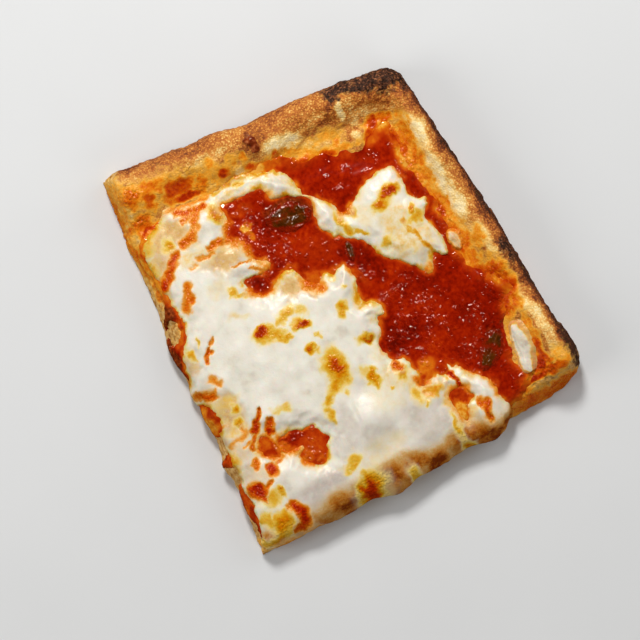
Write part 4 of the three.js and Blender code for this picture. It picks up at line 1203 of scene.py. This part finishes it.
OILY_PLACES = [
    (-62, -62.5, 4.5, 4, 0.3), (-66, -72, 4, 5, 0.2), (36, 18, 8, 4, 0.3), (35, 8, 8, 10, 0.32, 20),
    (12, -50, 4, 7, 0.36), (6, -40, 6, 6, 0.26), (-62, 53, 4, 3.5, 0.5), (-53.5, 48, 3, 3, 0.55),
    (-45, 40, 8, 4, 0.26), (-33, 39, 6, 2.5, 0.34), (-64, -79, 10, 2.5, 0.2), (44, 6, 3, 8, 0.3),
    (-24, 56.5, 8, 2, 0.3), (-42, 24, 6, 4, 0.16), (-40, 10, 5, 1.6, 0.26, -20), (24, 24, 4, 6, 0.2),
    (17, -53, 4, 3, 0.62, -20), (24.5, -51, 2, 3, 0.42), (25, -67.5, 2.5, 3, 0.5), (30, -66.5, 2, 2, 0.3),
    (-12, -66, 12, 6, 0.16, 10), (0, -45, 8, 8, 0.14), (5, -30, 4, 6, 0.2), (-30, -66, 3, 2, 0.3),
    (-60, -20, 5, 3, 0.3), (-60, -32, 5, 3, 0.3), (36, -75, 5, 3, 0.3),
]
OILY_CREASES = [
    ([(38, 15), (40.5, 6), (43.5, -3)], 1, 0.8), ([(22.5, -58.5), (23, -64), (25.5, -68)], 1.2, 0.85),
]
# Painted shade: grey-pink spots on the front slope, along the fold and beside the holes.
PAINTED_SHADE_PLACES = [
    (10, -62, 14, 12, 0.4), (-12, -60, 12, 9, 0.3), (-40, -69, 12, 6, 0.7), (-24, -56, 5, 7, 0.35, -50),
    (-3, -69, 14, 6, 0.3), (-30, -43, 5, 3, 0.1, 30), (-19, -48, 3, 8, 0.4), (-61, -43, 4, 5, 0.3),
    (-12, -38, 6, 4, 0.2),
]
print("thin places:", len(THIN_PLACES), "and oily places:", len(OILY_PLACES))

# %% What the cheese looks like at each place
TAN_REACH = 11.4
TAN_SOFTNESS = 6.5
MORE_TAN_AT = -6


def cheese_fields(patch, depth):
    """Six fields from 0 to 1. It is reddened at breaks and where sauce bleeds over its edge, tanned up
    to a wavy line above the hem, which is higher at one place, and oily at oily places and in a band
    along its edge, patchy and wide or even and narrow, whichever is more. Shade is painted at the
    places where the cheese should lie in shade."""
    base = patch.base
    bleed = 0.8 * spots(patch, BLEEDING_PLACES, 1.0, 3, 85) * band(depth, 2.4)
    tan_line = TAN_REACH + 2.6 * bell((patch.x - MORE_TAN_AT) / 9) + 1.4 * waves(base, 9, 75)
    hem = ease((tan_line - patch.t * LENGTH) / TAN_SOFTNESS)
    patchy = clamp(0.4 + 1.1 * waves(base, 7, 77))
    rim = np.maximum(0.75 * band(depth, 2.4) * patchy, 0.46 * band(depth, 0.9)) * (1 - hem)
    oily = spots(patch, OILY_PLACES, 1.2, 3.5, 78)
    return {
        "toast": spots(patch, TOASTED_PLACES, 0.9, 2.8, 72, 1.7),
        "redden": np.maximum(strokes(patch, BROKEN_STROKES), bleed),
        "thin": spots(patch, THIN_PLACES, 1.4, 4.5, 74),
        "tan": clamp(hem * (0.8 + 0.25 * waves(base, 4, 76))),
        "oil": clamp(np.maximum.reduce([rim, oily, strokes(patch, OILY_CREASES)])),
        "painted_shade": spots(patch, PAINTED_SHADE_PLACES, 1.5, 6, 79),
    }


# %% The relief of the cheese
CHEESE_THICKNESS = 2.5
CHEESE_EDGE = 0.9
CHEESE_LIP = 0.45
HEM_UNEVENNESS = 1.6
HEM_BULGE = 1.3
# The fold: its foot and head in plan, its height and how far back it reaches.
FOLD = ((-16.5, -56), (-14.5, -44), 1.1, 7)
CHEESE_LUMPS = [
    (-36, -12, 24, 24, 1.9), (-46, 18, 14, 20, 1), (-11, -52, 11, 9, 1.8), (-49, -57, 12, 8, 1.3),
    (5, -14, 8, 8, 1.7), (2, 2, 9, 8, 0.8), (32, 8, 10, 14, 0.7), (11, 30, 5, 9, 0.7), (-2, 51, 8, 4, 0.7),
    (34, -57, 5, 12, 1.1), (-8, -79, 17, 6, 2.8), (-14, -80, 4, 5, 1.8), (30, -77.5, 8, 6, 2.7),
    (-63, -28, 8, 14, -1.3), (-56, 50, 12, 9, -1.3), (-16, 11, 8, 6, -1.3), (-66, -74, 12, 15, -1.2),
]


def hem_depth(patch):
    """Distance in from the cheese's wavy hem on the front side, stretched to run down its slope."""
    scallop = 0.5 + 0.3 * np.sin(41 * patch.s + 1) + 0.2 * np.sin(17 * patch.s)
    return 2 * (patch.t * LENGTH - 0.7 - HEM_UNEVENNESS * scallop)


def fold(patch, foot, head, height, reach):
    """A fold's lip: a sharp step across the line from foot to head that fades away over its reach."""
    dx, dy = head[0] - foot[0], head[1] - foot[1]
    long = math.hypot(dx, dy)
    along = ((patch.x - foot[0]) * dx + (patch.y - foot[1]) * dy) / long**2
    across = ((patch.x - foot[0]) * dy - (patch.y - foot[1]) * dx) / long
    across = across - 1.2 * np.sin(np.pi * clamp(along))
    return height * ease(across / 0.9 + 0.5) * np.exp(-np.maximum(across, 0) / reach) * bell(2 * along - 1)


def cheese_relief(patch, fields):
    """Low waves, furrows along the flow, a fold, and rough blisters where it is toasted."""
    base = patch.base
    soft = 0.22 * waves(base, 8, 81) + 0.1 * waves(base, 3.4, 82)
    furrows = 0.1 * waves(base * (1.0, 0.35, 1.0), 2.6, 83)
    blisters = 0.35 * fields["toast"] * (0.7 - pits(base, 1.7, 84)) - 0.25 * fields["toast"]
    return soft + furrows + blisters + fold(patch, *FOLD)


# %% The cheese
def cheese_piece():
    """The cheese between its top and the sauce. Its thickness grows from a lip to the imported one, less
    where it is broken or thin and more at the hem. The edge is rounded, and past it the top sinks."""
    patch = Patch(np.linspace(PATCH_START / WIDTH, 0.97, 240), np.linspace(0.5 / LENGTH, 0.93, 258))
    reach = cheese_depth(patch)
    depth = np.minimum.reduce([reach, hem_depth(patch), 2 * (patch.s * WIDTH - 0.5)])
    fields = cheese_fields(patch, depth)
    broken = fields["redden"]
    sauce = sauce_level(sauce_depth(patch))
    full = CHEESE_THICKNESS + humps(CHEESE_LUMPS, patch.x, patch.y)
    thickness = GAP + mix(CHEESE_LIP, np.maximum(CHEESE_EDGE, full), ease(reach / 7))
    thickness = thickness * (1 - 0.4 * ease(broken * 1.3)) * (1 - 0.3 * fields["thin"])
    swollen = ease((9 - patch.t * LENGTH) / 4)
    thickness = (thickness + HEM_BULGE * swollen) * round_edge(depth, mix(1.7, 2.0, swollen))
    relief = cheese_relief(patch, fields) * ease(depth / 2.5)
    pulp = 0.14 * waves(patch.base, 1.7, 62) + 0.16 * (0.55 - pits(patch.base, 2.0, 64))
    top = sauce + thickness + relief + ease(broken * 1.5) * pulp - (sauce + 0.5) * ease(-depth)
    bottom = np.minimum(top - 0.25, sauce + GAP - (sauce + 0.9) * ease(0.3 - depth))
    make_sheet(
        "cheese_melted", patch.lifted(top), patch.lifted(bottom), depth > EDGE_TRIM, fields,
        melted_cheese, "cheese", "cheese"
    )


cheese_piece()

# %% [markdown]
# Two loose bits of cheese lie on the right rim beside the sauce: a long strip and a small bit. A lump
# laid on the rim would meet it at a hard line. So they are made as the big piece is, each on its own
# small stretch of the patch, and sink into the crust at the edge.

# %% The cheese on the rim
RIM_CHEESE_EDGE = 0.7
RIM_CHEESE_THICKNESS = 1.9
RIM_CHEESE_TRIM = -0.9


def rim_cheese(name, points, s_range, t_range, thinness, node):
    """A bit of cheese inside an outline with a ragged edge: from its edge it thickens by a soft step, and
    the edge is rounded. Oil, and sauce where it is thin, stand in a band along the edge."""
    patch = Patch(np.linspace(*s_range, 60), np.linspace(*t_range, 110))
    rag = 0.3 * waves(patch.base, 2.2, 91) + 0.15 * waves(patch.base, 1.0, 92)
    depth = depth_inside(patch.x, patch.y, smooth_outline(points)) + rag - 0.1
    sauce = sauce_level(sauce_depth(patch))
    thickness = GAP + mix(RIM_CHEESE_EDGE, RIM_CHEESE_THICKNESS, ease(depth / 3))
    top = sauce + thickness * round_edge(depth, 1.2) - (sauce + 0.5) * ease(-depth)
    top = top + 0.2 * waves(patch.base, 2.6, 93) * ease(depth)
    patchy = 0.8 + 0.5 * waves(patch.base, 4, 94)
    nothing = np.zeros(depth.shape)
    fields = {
        "toast": nothing, "redden": 0.6 * thinness * band(depth, 0.8), "thin": nothing + thinness,
        "tan": nothing, "oil": clamp(1.3 * band(depth - 0.1, 0.8) * patchy) * (1.1 - thinness),
        "painted_shade": nothing,
    }
    make_sheet(
        name, patch.lifted(top), patch.lifted(np.minimum(top - 0.2, -0.1)), depth > RIM_CHEESE_TRIM,
        fields, melted_cheese, "cheese", node
    )


rim_cheese("cheese_strip", RIM_STRIP_OUTLINE, (0.83, 0.97), (0.09, 0.27), 0.15, "cheese_rim_strip")
rim_cheese("cheese_bit", RIM_BIT_OUTLINE, (0.83, 0.92), (0.45, 0.56), 0.7, "cheese_rim_bit")

# %% [markdown]
# Basil leaves that were baked in sauce are thin, dark and limp. Sauce clings to them and closes over
# their rims, so little of their green is left and they show only as dark patches with a soft edge. A leaf
# could be a flat cut-out with painted veins, but it would stand off the sauce. Each is a sheet on
# two parameters instead, along the midrib and across it, that follows the sauce and sinks at its rim.

# %% The finish of the basil
def basil_finish():
    """Browned green, darker between the veins, with sauce laid over it where the rim is sunk and in
    blotches. Small beads of sauce stand here and there."""
    made = Finish("baked_basil")
    blotch, fine = made.noise(2.6, 3, 31), made.noise(0.6, 2, 32)
    leaf = made.ramp(
        made.sum((blotch, 0.6), (made.field("vein"), 0.4)),
        (0.0, 50, 22, 0), (0.5, 84, 36, 2), (1.0, 122, 54, 8),
    )
    sauce = made.ramp(fine, (0.0, 98, 16, 1), (1.0, 142, 28, 2))
    coated = made.sum(made.field("sauced"), (made.noise(3.4, 3, 33), 0.9), -0.38)
    colour = made.laid_over(leaf, coated, 0.2, 0.75, sauce)
    beads = made.product(made.domes(1.4, 0.66), made.noise(3, 2, 34, 0.46, 0.56))
    made.bump(0.4, 0.8, (blotch, 0.5), (beads, 0.7))
    return made.finished(
        base_color=colour, roughness=0.17, specular_ior_level=0.45, specular_tint=screen_colour(255, 232, 214)
    )


baked_basil = basil_finish()

# %% The shape of a leaf
LEAF_GAP = 0.1
LEAF_WAVE = 0.2
LEAF_THICKNESS = 0.45
LEAF_SUNK = 0.6


def patch_place(x, y, rounds=12, span_x=145, span_y=163):
    """The s and t of a place in plan, found in rounds that each close the gap left over, as a share of
    about the plan's width and length."""
    s, t = 0.5 + x / span_x, 0.5 + y / span_y
    for _ in range(rounds):
        plan = plan_point(s, t)
        s = s + (x - plan[..., 0]) / span_x
        t = t + (y - plan[..., 1]) / span_y
    return s, t


def leaf_veins(along, across):
    """The veins as bells: one on the midrib, and lower ones on lines that slant away from it."""
    slanted = np.sin(9 * np.pi * (along - 0.22 * np.abs(across)))
    branches = bell(slanted / 0.28) * ease(np.abs(across) * 4)
    return np.maximum(bell(across / 0.07), 0.6 * branches)


def leaf_piece(name, middle, turn, length, width, curl, crossed):
    """A leaf whose half width is a power of a sine along it, with small lobes. Its height is that of the
    sauce on the crust, with waves and curled tips, less what its rim is sunk. Veins are grooves."""
    along, across = np.meshgrid(np.linspace(0, 1, 90), np.linspace(1, -1, 50), indexing="ij")
    lobes = 1 + 0.05 * np.sin(19 * along + 2 * across) + 0.03 * np.sin(37 * along)
    half = 0.5 * width * mix(0.08, 1, np.sin(np.pi * along) ** 0.8) * lobes
    u, v = (along - 0.5) * length, across * half
    c, s = math.cos(math.radians(turn)), math.sin(math.radians(turn))
    x, y = middle[0] + u * c - v * s, middle[1] + u * s + v * c
    height = crust_point(*patch_place(x, y))[..., 2]
    level = sauce_level(depth_inside(x, y, sauce_outline)) + LEAF_GAP
    wave = LEAF_WAVE * (1 + np.sin(7 * along + 2.2 * across)) + curl * (2 * along - 1) ** 4
    vein = leaf_veins(along, across)
    rim = np.maximum(np.abs(across), np.abs(2 * along - 1) ** 1.5)
    sauced = np.maximum(ease((rim - 0.45) / 0.45), crossed * bell((along - 0.55) / 0.14))
    sunk = LEAF_SUNK * ease((rim - 0.3) / 0.7)
    low = np.stack([x, y, height + level + wave - sunk], axis=-1)
    wrinkle = 0.14 * waves(low, 1.6, 101) + 0.2 * waves(low, 3.4, 102)
    high = low + (0, 0, 1) * (LEAF_THICKNESS + wrinkle - 0.16 * vein)[..., None]
    fields = {"vein": vein, "sauced": sauced}
    make_sheet(name + "_limp", high, low, np.ones(x.shape, bool), fields, baked_basil, "basil", name)


# %% The basil leaves
# Each leaf: its middle, turn in degrees, length, width, how far the tips curl up, and how much of a band
# of sauce lies across it.
LEAVES = {
    "basil_leaf_centre": ((-3.2, 37.4), -12, 19.5, 12.5, 0.4, 0.0),
    "basil_leaf_front": ((46.4, -49.2), 42, 18.5, 9.0, 0.4, 0.8),
    "basil_leaf_small": ((13.0, 13.7), 82, 8.5, 4.0, 0.3, 0.0),
}

for leaf_name, leaf in LEAVES.items():
    leaf_piece(leaf_name, *leaf)

# %% [markdown]
# The slice stands on a plain pale floor and is seen from straight above, a little turned. A long lens
# keeps its sides from leaning. One soft light stands behind the back rim, high enough for a short soft
# shadow in front. Three large weak ones and a weak pale sky fill the shadows. A sky alone would be
# simpler, but wet sauce mirrors it as a grey veil, so only the one light shows in glossy surfaces.

# %% The floor
FLOOR_HALF = 1.5


def floor_finish():
    """A pale grey with a hardly visible drift, matt."""
    made = Finish("pale_floor")
    tone = made.ramp(made.noise(60, 3, 41), (0.0, 209, 209, 208), (1.0, 211, 211, 210))
    return made.finished(base_color=tone, roughness=0.7)


def make_floor():
    """One large square face that wet surfaces don't mirror."""
    ends = (-FLOOR_HALF, FLOOR_HALF)
    mesh = bpy.data.meshes.new("floor")
    mesh.from_pydata([(x, y, 0) for x in ends for y in ends], [], [(0, 2, 3, 1)])
    mesh.materials.append(floor_finish())
    floor = bpy.data.objects.new("floor", mesh)
    bpy.context.scene.collection.objects.link(floor)
    floor.visible_glossy = False


make_floor()

# %% The lights
SKY_STRENGTH = 0.1
LIGHT_DISTANCE = 1.2
# Each soft light: its direction round the slice in degrees from +X, elevation, width in m and power in W.
LIGHTS = {
    "key_light": (75, 48, 0.22, 12.0),
    "fill_left": (165, 30, 0.8, 6.8),
    "fill_front": (-70, 30, 0.8, 2.8),
    "fill_right": (10, 30, 0.8, 4.0),
}


def make_light(name, direction, elevation, width, power):
    """A square light on a sphere round the slice, turned to face the middle."""
    light = bpy.data.lights.new(name, "AREA")
    light.size = width
    light.energy = power
    lamp = bpy.data.objects.new(name, light)
    turn, rise = math.radians(direction), math.radians(elevation)
    level = math.cos(rise) * LIGHT_DISTANCE
    lamp.location = (math.cos(turn) * level, math.sin(turn) * level, math.sin(rise) * LIGHT_DISTANCE)
    lamp.rotation_euler = (math.pi / 2 - rise, 0, turn + math.pi / 2)
    lamp.visible_glossy = name == "key_light"
    bpy.context.scene.collection.objects.link(lamp)


def make_sky():
    """An even white sky that wet surfaces don't mirror."""
    world = bpy.data.worlds.new("pale_sky")
    bpy.context.scene.world = world
    world.use_nodes = True
    world.node_tree.nodes["Background"].inputs["Color"].default_value = (1, 1, 1, 1)
    world.node_tree.nodes["Background"].inputs["Strength"].default_value = SKY_STRENGTH
    world.cycles_visibility.glossy = False


make_sky()
for light_name, placing in LIGHTS.items():
    make_light(light_name, *placing)
print("lights:", ", ".join(LIGHTS))

# %% The camera
VIEW_TURN = -27.0
VIEW_CENTRE = (-11.0, -6.3)
VIEW_WIDTH = 263.2
CAMERA_HEIGHT = 1400.0
VIEW_LEVEL = 15.0
SENSOR = 36.0


def make_camera():
    """A camera straight above. Its focal length is the sensor's width times the distance to the toppings,
    over the width that is seen there."""
    camera = bpy.data.cameras.new("camera")
    camera.sensor_width = SENSOR
    camera.lens = SENSOR * (CAMERA_HEIGHT - VIEW_LEVEL) / VIEW_WIDTH
    camera.clip_end = 10
    view = bpy.data.objects.new("camera", camera)
    view.location = (VIEW_CENTRE[0] * MM, VIEW_CENTRE[1] * MM, CAMERA_HEIGHT * MM)
    view.rotation_euler = (0, 0, math.radians(VIEW_TURN))
    bpy.context.scene.collection.objects.link(view)
    bpy.context.scene.camera = view
    print("focal length in mm:", round(camera.lens, 1))


make_camera()
bpy.context.scene.view_settings.view_transform = "Standard"
